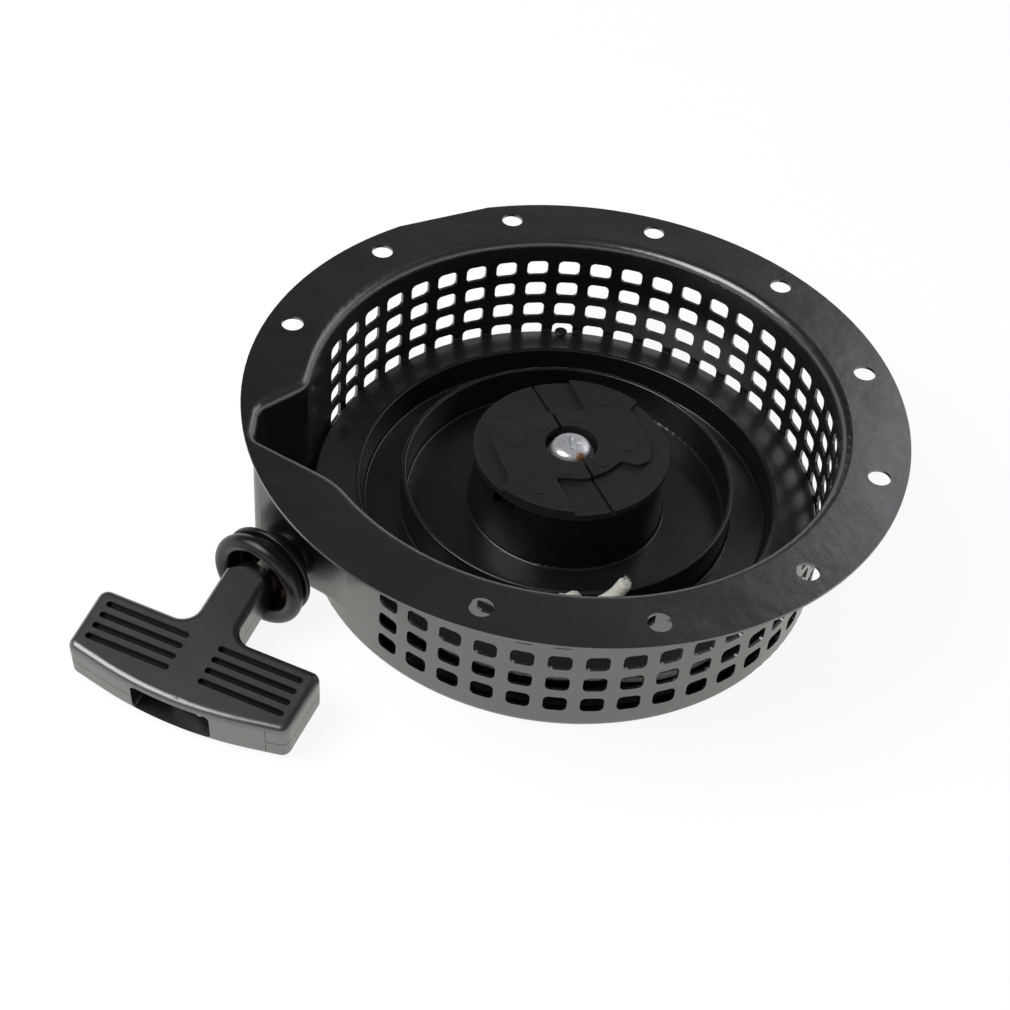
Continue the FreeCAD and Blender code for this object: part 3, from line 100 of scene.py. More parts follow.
HANDLE_ROLL = 3.1


def turned_by(degrees, axis):
    """A turn in degrees about one axis."""
    return Matrix.Rotation(math.radians(degrees), 3, axis)


def polar(radius, angle, z):
    """A point in metres from a radius and height in millimetres and an angle in degrees."""
    turn = math.radians(angle)
    return Vector((radius * math.cos(turn), radius * math.sin(turn), z)) * MM


def pull_direction():
    """The way the rope runs when the handle is pulled."""
    rise = math.radians(PULL_RISE)
    return (polar(math.cos(rise), PULL_AZIMUTH, math.sin(rise)) / MM).normalized()


lead_start = polar(WINDING_R, REEL_END_ANGLE, LEAD_START_Z)
nose_bend = lead_start + pull_direction() * BEND_DISTANCE * MM
HANDLE_TURN = turned_by(HANDLE_YAW, "Z") @ turned_by(HANDLE_PITCH, "X") @ turned_by(HANDLE_ROLL, "Y")
handle_origin = nose_bend - HANDLE_TURN @ Vector((0.0, BEND_FROM_BAR * MM, 0.0))


def in_handle(x, y, z):
    """A point given in millimetres in the handle's own frame: +X along its bar, +Y towards the guide."""
    return handle_origin + HANDLE_TURN @ (Vector((x, y, z)) * MM)


# ---------------------------------------------------------------- node helpers
class Nodes:
    """Short ways to add shader nodes to one material or world; the functions below call it n."""

    def __init__(self, owner):
        owner.use_nodes = True
        self.tree = owner.node_tree
        self.tree.nodes.clear()

    def add(self, kind, inputs=None, **settings):
        """A node with its settings, whose inputs are linked or given a value."""
        node = self.tree.nodes.new(kind)
        for key, value in settings.items():
            setattr(node, key, value)
        for key, value in (inputs or {}).items():
            if isinstance(value, bpy.types.NodeSocket):
                self.tree.links.new(value, node.inputs[key])
            else:
                node.inputs[key].default_value = value
        return node

    def place(self):
        """Position in the object's own frame, which moves with its body."""
        return self.add("ShaderNodeTexCoord").outputs["Object"]

    def noise(self, scale, detail=3.0, roughness=0.55, vector=None):
        """Soft noise between 0 and 1, at the object's own position or at a given one."""
        node = self.add("ShaderNodeTexNoise", {"Scale": scale, "Detail": detail, "Roughness": roughness,
                                               "Vector": vector or self.place()})
        return node.outputs["Fac"]

    def stretched(self, factors):
        """The same position with each axis scaled."""
        node = self.add("ShaderNodeMapping", {"Vector": self.place(), "Scale": factors})
        return node.outputs["Vector"]

    def span(self, value, low, high, to_low, to_high):
        """A value moved from one range to another and held inside it."""
        node = self.add("ShaderNodeMapRange", {"Value": value, "From Min": low, "From Max": high,
                                               "To Min": to_low, "To Max": to_high})
        return node.outputs["Result"]

    def maths(self, operation, first, second=0.0):
        """The result of one operation on one or two values."""
        return self.add("ShaderNodeMath", {0: first, 1: second}, operation=operation).outputs["Value"]

    def ramp(self, value, stops):
        """A colour picked by a value from a row of positions and colours."""
        node = self.add("ShaderNodeValToRGB", {"Fac": value})
        elements = node.color_ramp.elements
        while len(elements) < len(stops):
            elements.new(0.5)
        for element, (position, colour) in zip(elements, stops):
            element.position = position
            element.color = (*colour, 1.0)
        return node.outputs["Color"]

    def mixed(self, factor, first, second):
        """The first colour where the factor is 0, and the second where it is 1."""
        node = self.add("ShaderNodeMix", {"Factor": factor}, data_type="RGBA")
        colour_sockets = node.inputs[6], node.inputs[7]
        for socket, value in zip(colour_sockets, (first, second)):
            if isinstance(value, bpy.types.NodeSocket):
                self.tree.links.new(value, socket)
            else:
                socket.default_value = (*value, 1.0)
        return node.outputs[2]

    def bump(self, height, distance, normal=None):
        """A normal tilted by a height that reaches a distance, on top of another normal if one is given."""
        inputs = {"Height": height, "Distance": distance, "Strength": 1.0}
        if normal is not None:
            inputs["Normal"] = normal
        return self.add("ShaderNodeBump", inputs).outputs["Normal"]

    def surface(self, shader):
        """Makes a shader the material's surface."""
        output = self.add("ShaderNodeOutputMaterial")
        self.tree.links.new(shader.outputs[0], output.inputs["Surface"])


def new_material(name):
    """A material and the nodes to build it from."""
    material = bpy.data.materials.new(name)
    return material, Nodes(material)


FLOW_MARKS = 0.0006
PLAIN_SPECULAR = 0.5
SEAM_HALF_WIDTH = 0.00010
SEAM_BLUR_END = 0.00026
RECESS_BLUR = 0.00025
PAINTED_SHADE_SPECULAR = 0.12


def edge_highlight_mask(n, width):
    """1 within a width of a sharp edge, and 0 on the flat."""
    softened = n.add("ShaderNodeBevel", {"Radius": width}, samples=6).outputs["Normal"]
    plain = n.add("ShaderNodeNewGeometry").outputs["Normal"]
    agreement = n.add("ShaderNodeVectorMath", {0: softened, 1: plain}, operation="DOT_PRODUCT")
    return n.span(agreement.outputs["Value"], 0.80, 0.98, 1.0, 0.0)


def off_seam(n, point, across):
    """0 in the fine line where two halves meet, and 1 elsewhere."""
    away = n.add("ShaderNodeVectorMath", {0: n.place(), 1: tuple(across)}, operation="DOT_PRODUCT")
    away = n.maths("ABSOLUTE", n.maths("SUBTRACT", away.outputs["Value"], point.dot(across)))
    return n.span(away, SEAM_HALF_WIDTH, SEAM_BLUR_END, 0.0, 1.0)


def inside_box(n, middle, turn, half_lengths):
    """1 inside a turned box, and 0 outside it."""
    from_middle = n.add("ShaderNodeVectorMath", {0: n.place(), 1: tuple(middle)}, operation="SUBTRACT")
    inside = 1.0
    for axis, half_length in zip(turn.col, half_lengths):
        along = n.add("ShaderNodeVectorMath", {0: from_middle.outputs["Vector"], 1: tuple(axis)},
                      operation="DOT_PRODUCT")
        along = n.maths("ABSOLUTE", along.outputs["Value"])
        within = n.span(along, half_length - RECESS_BLUR, half_length + RECESS_BLUR, 1.0, 0.0)
        inside = n.maths("MULTIPLY", inside, within)
    return inside


def moulded(name, dark, light, rough, grain, ior=1.5, seam=None, recess=None, edge_highlight_width=0.0):
    """Moulded black plastic: fine grain, soft flow marks and a few light rub marks.

    A seam is the plane where two halves meet, as a point and a normal; it shows as a fine dark line.
    A recess is a box, as its middle, its turn and its three half lengths; the plastic inside it, such as
    the floor of a groove, is painted near black and dull, a painted shade.
    The edge highlight width is how far in from a sharp edge the plastic is painted pale, a painted highlight,
    or 0 for none.
    """
    material, n = new_material(name)
    broad = n.noise(18.0, 4.0)
    fine = n.noise(1400.0, 2.0)
    rubs = n.noise(60.0, 6.0, 0.7, n.stretched((0.35, 2.2, 1.0)))
    worn = n.span(rubs, 0.6, 0.82, 0.0, 1.0)
    colour = n.mixed(n.span(broad, 0.3, 0.7, 0.0, 1.0), dark, light)
    colour = n.mixed(n.maths("MULTIPLY", worn, 0.35), colour, tuple(c * 3.0 + 0.01 for c in light))
    uneven = n.maths("ADD", n.maths("MULTIPLY", broad, 0.7), n.maths("MULTIPLY", fine, 0.3))
    normal = n.bump(fine, grain)
    normal = n.bump(broad, FLOW_MARKS, normal)
    specular_level = PLAIN_SPECULAR
    if edge_highlight_width > 0.0:
        # Painted highlight: near a sharp edge the colour is painted pale, standing for light caught on the
        # rounded edge.
        colour = n.mixed(edge_highlight_mask(n, edge_highlight_width), colour, (0.070, 0.070, 0.076))
    if seam is not None:
        beside = off_seam(n, *seam)
        colour = n.mixed(beside, (0.002, 0.002, 0.002), colour)
        specular_level = n.maths("MULTIPLY", beside, PLAIN_SPECULAR)
    # Painted shade: inside the recess box the colour is near black and the reflection is turned down,
    # standing for the shade in the grooves.
    if recess is not None:
        inside = inside_box(n, *recess)
        colour = n.mixed(inside, colour, (0.004, 0.004, 0.004))
        specular_level = n.maths("MULTIPLY", specular_level, n.span(inside, 0.0, 1.0, 1.0, PAINTED_SHADE_SPECULAR))
    n.surface(n.add("ShaderNodeBsdfPrincipled", {
        "Base Color": colour, "Roughness": n.span(uneven, 0.25, 0.75, *rough), "Normal": normal, "IOR": ior,
        "Specular IOR Level": specular_level}))
    return material


def painted_steel():
    """Baked black paint on pressed steel: orange peel, faint cloudy handling marks and dust."""
    material, n = new_material("Black_painted_steel")
    cloud = n.noise(9.0, 5.0, 0.6)
    smear = n.noise(26.0, 6.0, 0.65, n.stretched((0.6, 1.6, 1.0)))
    peel = n.noise(900.0, 2.0)
    specks = n.noise(2300.0, 1.0)
    colour = n.mixed(n.span(cloud, 0.3, 0.72, 0.0, 1.0), (0.0050, 0.0050, 0.0058), (0.0085, 0.0083, 0.0090))
    dusty = n.maths("MULTIPLY", n.span(specks, 0.70, 0.78, 0.0, 1.0), n.span(smear, 0.5, 0.75, 0.0, 0.22))
    colour = n.mixed(dusty, colour, (0.16, 0.155, 0.15))
    rough = n.span(n.maths("ADD", n.maths("MULTIPLY", smear, 0.6), n.maths("MULTIPLY", cloud, 0.4)),
                   0.3, 0.7, 0.20, 0.33)
    normal = n.bump(peel, 0.000035)
    normal = n.bump(cloud, 0.0012, normal)
    n.surface(n.add("ShaderNodeBsdfPrincipled", {
        "Base Color": colour, "Roughness": rough, "Normal": normal, "IOR": 2.3,
        "Specular IOR Level": 0.5}))
    return material


def bright_metal(name, colour, tint, rough):
    """Bare metal, mottled between two colours, with a fine grain."""
    material, n = new_material(name)
    wide = n.noise(140.0, 4.0, 0.6)
    fine = n.noise(1600.0, 3.0, 0.6)
    shade = n.mixed(n.span(wide, 0.3, 0.7, 0.0, 1.0), colour, tint)
    uneven = n.maths("ADD", wide, n.maths("MULTIPLY", fine, 0.6))
    n.surface(n.add("ShaderNodeBsdfPrincipled", {
        "Base Color": shade, "Roughness": n.span(uneven, 0.5, 1.1, *rough), "Normal": n.bump(fine, 0.00002),
        "Metallic": 1.0}))
    return material


RUST_PLACE = (0.0056, -0.0056, -0.0252)
RUST_RAGGED = 0.0030
RUST_R = 0.0030
RUST_EDGE_R = 0.0044


def screw_metal():
    """Bright zinc with one rusty spot on the +X, -Y side of the head."""
    material, n = new_material("Zinc_screw")
    wide = n.noise(260.0, 4.0, 0.6)
    fine = n.noise(2400.0, 3.0)
    zinc = n.mixed(n.span(wide, 0.3, 0.7, 0.0, 1.0), (0.95, 0.96, 0.97), (0.80, 0.82, 0.84))
    spot = n.add("ShaderNodeVectorMath", {0: n.place(), 1: RUST_PLACE}, operation="DISTANCE")
    ragged_by = n.maths("MULTIPLY", n.noise(900.0, 4.0, 0.7), RUST_RAGGED)
    edge = n.maths("ADD", spot.outputs["Value"], ragged_by)
    rust = n.span(edge, RUST_R, RUST_EDGE_R, 1.0, 0.0)
    rust_colour = n.mixed(fine, (0.16, 0.060, 0.018), (0.42, 0.20, 0.07))
    colour = n.mixed(rust, zinc, rust_colour)
    rough = n.maths("ADD", n.span(wide, 0.3, 0.7, 0.20, 0.36), n.maths("MULTIPLY", rust, 0.4))
    metal = n.maths("SUBTRACT", 0.62, n.maths("MULTIPLY", rust, 0.5))
    normal = n.bump(wide, 0.00022)
    normal = n.bump(fine, 0.00003, normal)
    n.surface(n.add("ShaderNodeBsdfPrincipled", {
        "Base Color": colour, "Roughness": rough, "Metallic": metal, "Normal": normal}))
    return material


BURN_RAGGED = 0.0035


def rope_material(name, stain_point=None, stain_radius=0.0):
    """Off-white nylon braid, a little soiled, and burnt yellow-brown round a point if one is given."""
    material, n = new_material(name)
    wide = n.noise(120.0, 4.0, 0.6)
    fibre = n.noise(3200.0, 2.0, 0.6)
    colour = n.mixed(n.span(wide, 0.3, 0.75, 0.0, 1.0), (0.90, 0.89, 0.83), (0.74, 0.71, 0.62))
    colour = n.mixed(n.span(fibre, 0.35, 0.7, 0.0, 0.30), colour, (0.42, 0.39, 0.32))
    if stain_point is not None:
        away = n.add("ShaderNodeVectorMath", {0: n.place(), 1: stain_point}, operation="DISTANCE")
        ragged_by = n.maths("MULTIPLY", n.noise(700.0, 4.0, 0.7), BURN_RAGGED)
        edge = n.maths("ADD", away.outputs["Value"], ragged_by)
        stain = n.span(edge, stain_radius * 0.6, stain_radius * 1.5, 0.9, 0.0)
        colour = n.mixed(stain, colour, n.mixed(fibre, (0.55, 0.36, 0.10), (0.80, 0.63, 0.28)))
    n.surface(n.add("ShaderNodeBsdfPrincipled", {
        "Base Color": colour, "Roughness": 0.72, "Normal": n.bump(fibre, 0.00008),
        "Sheen Weight": 0.25, "Sheen Roughness": 0.5, "Specular IOR Level": 0.35}))
    return material


black_steel = painted_steel()
reel_black = moulded("Reel_plastic", dark=(0.0062, 0.0063, 0.0074), light=(0.0098, 0.0100, 0.0114),
                     rough=(0.22, 0.36), grain=0.000012, ior=1.7)
# The guide plate's sharp edges are painted pale, a painted highlight.
plate_black = moulded("Guide_plate_plastic", dark=(0.0125, 0.0125, 0.0142), light=(0.0185, 0.0185, 0.0206),
                      rough=(0.40, 0.54), grain=0.000030, edge_highlight_width=0.0004)
pawl_black = moulded("Pawl_plastic", dark=(0.012, 0.012, 0.012), light=(0.02, 0.02, 0.02),
                     rough=(0.4, 0.55), grain=0.00002)
guide_black = moulded("Rope_guide_plastic", dark=(0.0070, 0.0066, 0.0060), light=(0.0110, 0.0104, 0.0092),
                      rough=(0.26, 0.40), grain=0.000014)

HANDLE_PLASTIC = {"dark": (0.0090, 0.0090, 0.0102), "light": (0.0150, 0.0150, 0.0168), "rough": (0.26, 0.38),
                  "grain": 0.000018, "ior": 2.5}
# The box round the ribbed grip whose plastic gets painted shade, dark and dull in its grooves.
RIBBED_MIDDLE = in_handle(0, -14.2, 0)
RIBBED_HALF_LENGTHS = 41.4 * MM, 9.3 * MM, 8.7 * MM
handle_black = moulded("Handle_plastic", **HANDLE_PLASTIC, seam=(handle_origin, HANDLE_TURN.col[2]),
                       recess=(RIBBED_MIDDLE, HANDLE_TURN, RIBBED_HALF_LENGTHS))
insert_black = moulded("Handle_insert_plastic", **HANDLE_PLASTIC,
                       seam=(in_handle(INSERT_RIGHT, 0, 0), HANDLE_TURN.col[0]))

bright_steel = bright_metal("Bright_steel", (0.50, 0.50, 0.51), (0.36, 0.36, 0.37), rough=(0.28, 0.45))
spring_metal = bright_metal("Blued_spring_steel", (0.13, 0.14, 0.17), (0.20, 0.17, 0.13),
                            rough=(0.30, 0.48))
brass = bright_metal("Bronze_bush", (0.55, 0.38, 0.20), (0.43, 0.28, 0.14), rough=(0.30, 0.45))
stud_metal = bright_metal("Dull_stud", (0.060, 0.050, 0.044), (0.11, 0.095, 0.085), rough=(0.35, 0.60))
eyelet_metal = bright_metal("Eyelet", (0.13, 0.10, 0.085), (0.06, 0.045, 0.035), rough=(0.16, 0.30))
zinc = screw_metal()

NODE_MATERIALS = {
    "housing": black_steel,
    "spring_case": black_steel,
    "rope_guide": guide_black,
    "guide_eyelet": eyelet_metal,
    "centre_post": bright_steel,
    "case_rivets": bright_steel,
    "thrust_washer": bright_steel,
    "friction_washer": bright_steel,
    "screw_washer": bright_steel,
    "knot_washer": bright_steel,
    "pawl_pins": bright_steel,
    "spring_pin": bright_steel,
    "pawl_springs": bright_steel,
    "mainspring": spring_metal,
    "centre_screw": zinc,
    "reel": reel_black,
    "reel_bush": brass,
    "reel_stud": stud_metal,
    "pawl_a": pawl_black,
    "pawl_b": pawl_black,
    "guide_plate": plate_black,
    "handle_top": handle_black,
    "handle_bottom": handle_black,
    "handle_insert": insert_black,
}


def dress(piece, material):
    """Gives a piece one material in place of what it had."""
    piece.data.materials.clear()
    piece.data.materials.append(material)


for node_name, material in NODE_MATERIALS.items():
    dress(nodes[node_name], material)


# ---------------------------------------------------------------- mesh helpers
def new_piece(name, mesh, material):
    """A smooth shaded object in the scene, of one material."""
    piece = bpy.data.objects.new(name, mesh)
    bpy.context.scene.collection.objects.link(piece)
    mesh.materials.clear()
    mesh.materials.append(material)
    for polygon in mesh.polygons:
        polygon.use_smooth = True
    return piece


def mesh_from(name, vertices, faces):
    """A mesh of these corners and faces."""
    mesh = bpy.data.meshes.new(name)
    mesh.from_pydata([tuple(v) for v in vertices], [], faces)
    mesh.validate()
    mesh.update()
    return mesh


def route_curve(name, points):
    """Points along a smooth spline that runs from the first control point to the last."""
    curve = bpy.data.curves.new(name, "CURVE")
    curve.dimensions = "3D"
    curve.resolution_u = 12
    spline = curve.splines.new("NURBS")
    spline.points.add(len(points) - 1)
    for place, point in zip(spline.points, points):
        place.co = (*point, 1.0)
    spline.order_u = 3
    spline.use_endpoint_u = True
    holder = bpy.data.objects.new(name, curve)
    bpy.context.scene.collection.objects.link(holder)
    bpy.context.view_layer.update()
    graph = bpy.context.evaluated_depsgraph_get()
    line = bpy.data.meshes.new_from_object(holder.evaluated_get(graph))
    found = [v.co.copy() for v in line.vertices]
    bpy.data.objects.remove(holder)
    bpy.data.curves.remove(curve)
    bpy.data.meshes.remove(line)
    return found


def even_steps(line, step):
    """The same line with its points nearly an even step apart, and its length."""
    lengths = [0.0]
    for before, after in zip(line, line[1:]):
        lengths.append(lengths[-1] + (after - before).length)
    total = lengths[-1]
    count = max(2, round(total / step))
    result, index = [], 0
    for number in range(count + 1):
        target = total * number / count
        while index < len(line) - 2 and lengths[index + 1] < target:
            index += 1
        run = max(lengths[index + 1] - lengths[index], 1e-12)
        result.append(line[index].lerp(line[index + 1], (target - lengths[index]) / run))
    return result, total


PLAIT_LENGTH = 0.0022
RIDGE_HEIGHT = 0.00016
STRANDS = 4


def braided_tube(name, line, radius, material, step, around, swell=None):
    """A closed tube along a line, with the crossing ridges of a braid on its skin."""
    points, total = even_steps(line, step)
    heading = (points[1] - points[0]).normalized()
    side = heading.orthogonal().normalized()
    vertices, faces = [], []
    done = 0.0
    last = len(points) - 1
    for index, point in enumerate(points):
        after = points[min(index + 1, last)]
        before = points[max(index - 1, 0)]
        new_heading = (after - before).normalized()
        side = (side - new_heading * side.dot(new_heading)).normalized()
        other = new_heading.cross(side)
        if index:
            done += (point - points[index - 1]).length
        grown = swell(done, total) if swell else 1.0
        for spoke in range(around):
            angle = 2 * math.pi * spoke / around
            along = done / PLAIT_LENGTH
            first = math.sin(STRANDS * angle + 2 * math.pi * along)
            second = math.sin(STRANDS * angle - 2 * math.pi * along)
            ridge = max(first, second) * 0.6 + 0.4 * first * second
            reach = (radius - RIDGE_HEIGHT) * grown + RIDGE_HEIGHT * ridge
            vertices.append(point + (side * math.cos(angle) + other * math.sin(angle)) * reach)
    for index in range(last):
        for spoke in range(around):
            following = (spoke + 1) % around
            faces.append((index * around + spoke, index * around + following,
                          (index + 1) * around + following, (index + 1) * around + spoke))
    for index, flip in ((0, True), (last, False)):
        centre = len(vertices)
        vertices.append(points[index])
        for spoke in range(around):
            following = (spoke + 1) % around
            pair = (index * around + following, index * around + spoke) if flip else (
                index * around + spoke, index * around + following)
            faces.append((*pair, centre))
    return new_piece(name, mesh_from(name, vertices, faces), material)


def revolved(name, profile, material, steps):
    """A solid turned about the upright axis.

    Its profile is a list of radius and height in millimetres, which starts and ends on the axis.
    """
    vertices, faces, rings = [], [], []
    for radius, z in profile:
        if radius < 1e-6:
            rings.append([len(vertices)] * steps)
            vertices.append(Vector((0.0, 0.0, z)) * MM)
        else:
            rings.append(list(range(len(vertices), len(vertices) + steps)))
            for spoke in range(steps):
                angle = 2 * math.pi * spoke / steps
                vertices.append(Vector((radius * math.cos(angle), radius * math.sin(angle), z)) * MM)
    for first, second in zip(rings, rings[1:]):
        for spoke in range(steps):
            following = (spoke + 1) % steps
            corners = [first[spoke], second[spoke], second[following], first[following]]
            unique = [c for index, c in enumerate(corners) if c not in corners[:index]]
            if len(unique) > 2:
                faces.append(tuple(unique))
    return new_piece(name, mesh_from(name, vertices, faces), material)


def apply_modifiers(piece):
    """Puts a piece's finished mesh in place of its plain one."""
    bpy.context.view_layer.update()
    graph = bpy.context.evaluated_depsgraph_get()
    finished = bpy.data.meshes.new_from_object(piece.evaluated_get(graph))
    piece.modifiers.clear()
    piece.data = finished


# ---------------------------------------------------------------- rope
rope_white = rope_material("Rope_braid")


def winding_route():
    """The same control points as the wound rope has in the part's source."""
    first = WINDING_START + ROPE_ENTRY_SWEEP + 360 / WINDING_STEPS
    low = polar(ROPE_HOLE_R, WINDING_START, WINDING_START_Z)
    outer = polar(CORE_R, WINDING_START + ROPE_ENTRY_SWEEP, WINDING_START_Z)
    points = [polar(ROPE_HOLE_R, WINDING_START, ROPE_HOLE_TOP_Z),
              polar(ROPE_HOLE_R, WINDING_START, WINDING_START_Z + ROPE_HOLE_DROP),
              low + (outer - low).normalized() * ROPE_HOLE_DROP * MM, outer,
              polar(CORNER_R + ROPE_ENTRY_STANDOFF, first, WINDING_START_Z)]
    count = round((REEL_END_ANGLE - first) * WINDING_STEPS / 360)
    turn = (REEL_END_ANGLE - first) / (count + 0.5)
    rise = (LEAD_START_Z - WINDING_START_Z) / (count + 0.5)
    for index in range(1, count + 1):
        points.append(polar(CORNER_R, first + index * turn, WINDING_START_Z + index * rise))
    points.append(lead_start)
    return points


winding = braided_tube("Rope_on_reel", route_curve("winding route", winding_route()), ROPE_R * MM, rope_white,
                       step=0.0009, around=24)
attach(winding, "reel_body")
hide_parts("rope_winding")

# The rope that slides out runs from the reel, through the guide, and up the handle to its knot.
knot_wall = in_handle(0, -CHAMBER_BACK, 0)
lead_points = [lead_start + pull_direction() * LEAD_GAP * MM,
               nose_bend - pull_direction() * BEND_REACH * MM, nose_bend,
               nose_bend + (knot_wall - nose_bend).normalized() * BEND_REACH * MM, knot_wall]
lead = braided_tube("Rope_to_handle", route_curve("lead route", lead_points), ROPE_R * MM, rope_white,
                    step=0.0005, around=32)
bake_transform(lead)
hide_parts("rope_lead")


def knot_line(centre, turn, reach, height):
    """Points round a tight overhand knot, drawn as a closed trefoil of a reach and height in millimetres."""
    found = []
    count = 220
    for index in range(count + 1):
        angle = 2 * math.pi * index / count
        across = (math.sin(angle) + 2 * math.sin(2 * angle)) / 3 * reach
        along = (math.cos(angle) - 2 * math.cos(2 * angle)) / 3 * reach
        rise = -math.sin(3 * angle) * height
        found.append(centre + turn @ (Vector((across, along, rise)) * MM))
    return found


def joined(name, parts):
    """Several meshes as one piece."""
    whole = bmesh.new()
    for part in parts:
        whole.from_mesh(part.data)
    mesh = bpy.data.meshes.new(name)
    whole.to_mesh(mesh)
    whole.free()
    material = parts[0].data.materials[0]
    for part in parts:
        bpy.data.objects.remove(part)
    return new_piece(name, mesh, material)


FIBRE_SIDES = 5
FIBRE_ROOT_DEPTH = 0.0007
FIBRE_DROOP = 0.0002
FIBRE_LEVELS = [(0.0, 1.0), (0.6, 0.9), (1.0, 0.35)]     # shares of a fibre's length and its thickness


def frayed_end(end, heading, radius, material, count, seed):
    """Short loose fibres that stand out of a rope's cut end."""
    chance = random.Random(seed)
    side = heading.orthogonal().normalized()
    other = heading.cross(side)
    vertices, faces = [], []
    for _ in range(count):
        angle, away = chance.uniform(0, 2 * math.pi), radius * math.sqrt(chance.uniform(0.02, 0.9))
        out = side * math.cos(angle) + other * math.sin(angle)
        root = end + out * away - heading * FIBRE_ROOT_DEPTH
        lean = (heading + out * chance.uniform(0.0, 0.55) + side * chance.uniform(-0.25, 0.25)).normalized()
        length, thick = chance.uniform(0.0008, 0.0022), chance.uniform(0.00006, 0.00013)
        across = lean.orthogonal().normalized()
        upward = lean.cross(across)
        first = len(vertices)
        for level, share in FIBRE_LEVELS:
            middle = root + lean * length * level + out * FIBRE_DROOP * level * level
            for corner in range(FIBRE_SIDES):
                turn = 2 * math.pi * corner / FIBRE_SIDES
                vertices.append(middle + (across * math.cos(turn) + upward * math.sin(turn)) * thick * share)
        for level in range(len(FIBRE_LEVELS) - 1):
            lower = first + level * FIBRE_SIDES
            upper = lower + FIBRE_SIDES
            for corner in range(FIBRE_SIDES):
                following = (corner + 1) % FIBRE_SIDES
                faces.append((lower + corner, lower + following, upper + following, upper + corner))
        faces.append(tuple(first + corner for corner in reversed(range(FIBRE_SIDES))))
        faces.append(tuple(upper + corner for corner in range(FIBRE_SIDES)))
    return new_piece("fibres", mesh_from("fibres", vertices, faces), material)


# Knot on the reel's web: the rope comes up, is tied, and its cut end stands out.
KNOT_TUBE = {"step": 0.0004, "around": 48}
REEL_KNOT_ROPE_R = ROPE_R - 0.35
HANDLE_KNOT_ROPE_R = ROPE_R - 0.25
TAIL_ROPE_R = ROPE_R - 0.1
CUT_ROUND = 0.0011
BURN_OFFSET = Vector((0.0022, -0.0012, -0.0035))
knot_z = ROPE_HOLE_TOP_Z + KNOT_CENTRE_RISE
knot_centre = polar(ROPE_HOLE_R, WINDING_START, knot_z)
tail_r = ROPE_HOLE_R - TAIL_INSET
tail_foot = polar(tail_r, WINDING_START + TAIL_FOOT_SWEEP, knot_z + TAIL_FOOT_RISE)
tail_top = polar(tail_r, WINDING_START + TAIL_TOP_SWEEP, knot_z + TAIL_TOP_RISE)
rope_burnt = rope_material("Rope_cut_end", stain_point=tuple(tail_top + BURN_OFFSET), stain_radius=0.0020)


def ragged(done, total):
    """How much a rope's cut end is grown: it swells towards its tip, whose rim is rounded."""
    left = total - done
    rounding = math.sqrt(max(0.0, 1 - (1 - min(1.0, left / CUT_ROUND)) ** 2))
    return (1.0 + 0.16 * min(1.0, done / total)) * (0.55 + 0.45 * rounding)


tail_line = route_curve("tail route", [knot_centre, tail_foot, tail_top])
tail = braided_tube("tail", tail_line, TAIL_ROPE_R * MM, rope_burnt, step=0.0003, around=56, swell=ragged)
reel_knot_turn = turned_by(WINDING_START, "Z") @ turned_by(62, "Y")
lump_line = knot_line(knot_centre, reel_knot_turn, reach=4.9, height=2.3)
lump = braided_tube("lump", lump_line, REEL_KNOT_ROPE_R * MM, rope_burnt, **KNOT_TUBE)
neck_line = [polar(ROPE_HOLE_R, WINDING_START, ROPE_HOLE_TOP_Z - 0.5), knot_centre]
neck = braided_tube("neck", neck_line, ROPE_R * MM, rope_burnt, **KNOT_TUBE)
fibres = frayed_end(tail_line[-1], (tail_line[-1] - tail_line[-2]).normalized(), radius=0.0020,
                    material=rope_burnt, count=60, seed=7)
reel_knot = joined("Reel_knot", [tail, lump, neck, fibres])
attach(reel_knot, "reel_body")
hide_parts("reel_knot")

# Knot in the handle's chamber, with its own short cut end.
handle_knot_turn = HANDLE_TURN @ turned_by(-8, "X") @ turned_by(40, "Z")
handle_lump_line = knot_line(in_handle(1.0, -21.9, 0), handle_knot_turn, reach=4.2, height=1.2)
handle_lump = braided_tube("handle lump", handle_lump_line, HANDLE_KNOT_ROPE_R * MM, rope_white, **KNOT_TUBE)
handle_neck = braided_tube("handle neck", [knot_wall, in_handle(0.3, -19.0, 0)], ROPE_R * MM, rope_white,
                           **KNOT_TUBE)
handle_tail_line = route_curve("handle tail route", [in_handle(1.0, -21.65, 0), in_handle(7.0, -24.0, 1.5),
                                                     in_handle(12.5, -30.5, 3.6)])
handle_tail = braided_tube("handle tail", handle_tail_line, TAIL_ROPE_R * MM, rope_white,
                           step=0.0003, around=48, swell=ragged)
handle_knot = joined("Handle_knot", [handle_lump, handle_neck, handle_tail])
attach(handle_knot, "handle_body")
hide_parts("handle_knot")


# ---------------------------------------------------------------- screw with a cross recess
SCREW_PROFILE = [(0.0, -23.55), (2.8, -23.58), (5.0, -23.85), (6.7, -24.4), (7.8, -25.3), (8.25, -26.4),
                 (8.35, -27.6), (8.2, -28.3), (7.8, -28.6), (3.0, -28.6), (3.0, -44.2), (2.6, -44.6),
                 (0.0, -44.6)]
SCREW_SHARP_ANGLE = math.radians(28)


def smooth_profile(points, rounds):
    """Corner cutting, which keeps the two ends."""
    for _ in range(rounds):
        cut = [points[0]]
        for (r0, z0), (r1, z1) in zip(points, points[1:]):
            cut.append((0.75 * r0 + 0.25 * r1, 0.75 * z0 + 0.25 * z1))
            cut.append((0.25 * r0 + 0.75 * r1, 0.25 * z0 + 0.75 * z1))
        cut.append(points[-1])
        points = cut
    return points


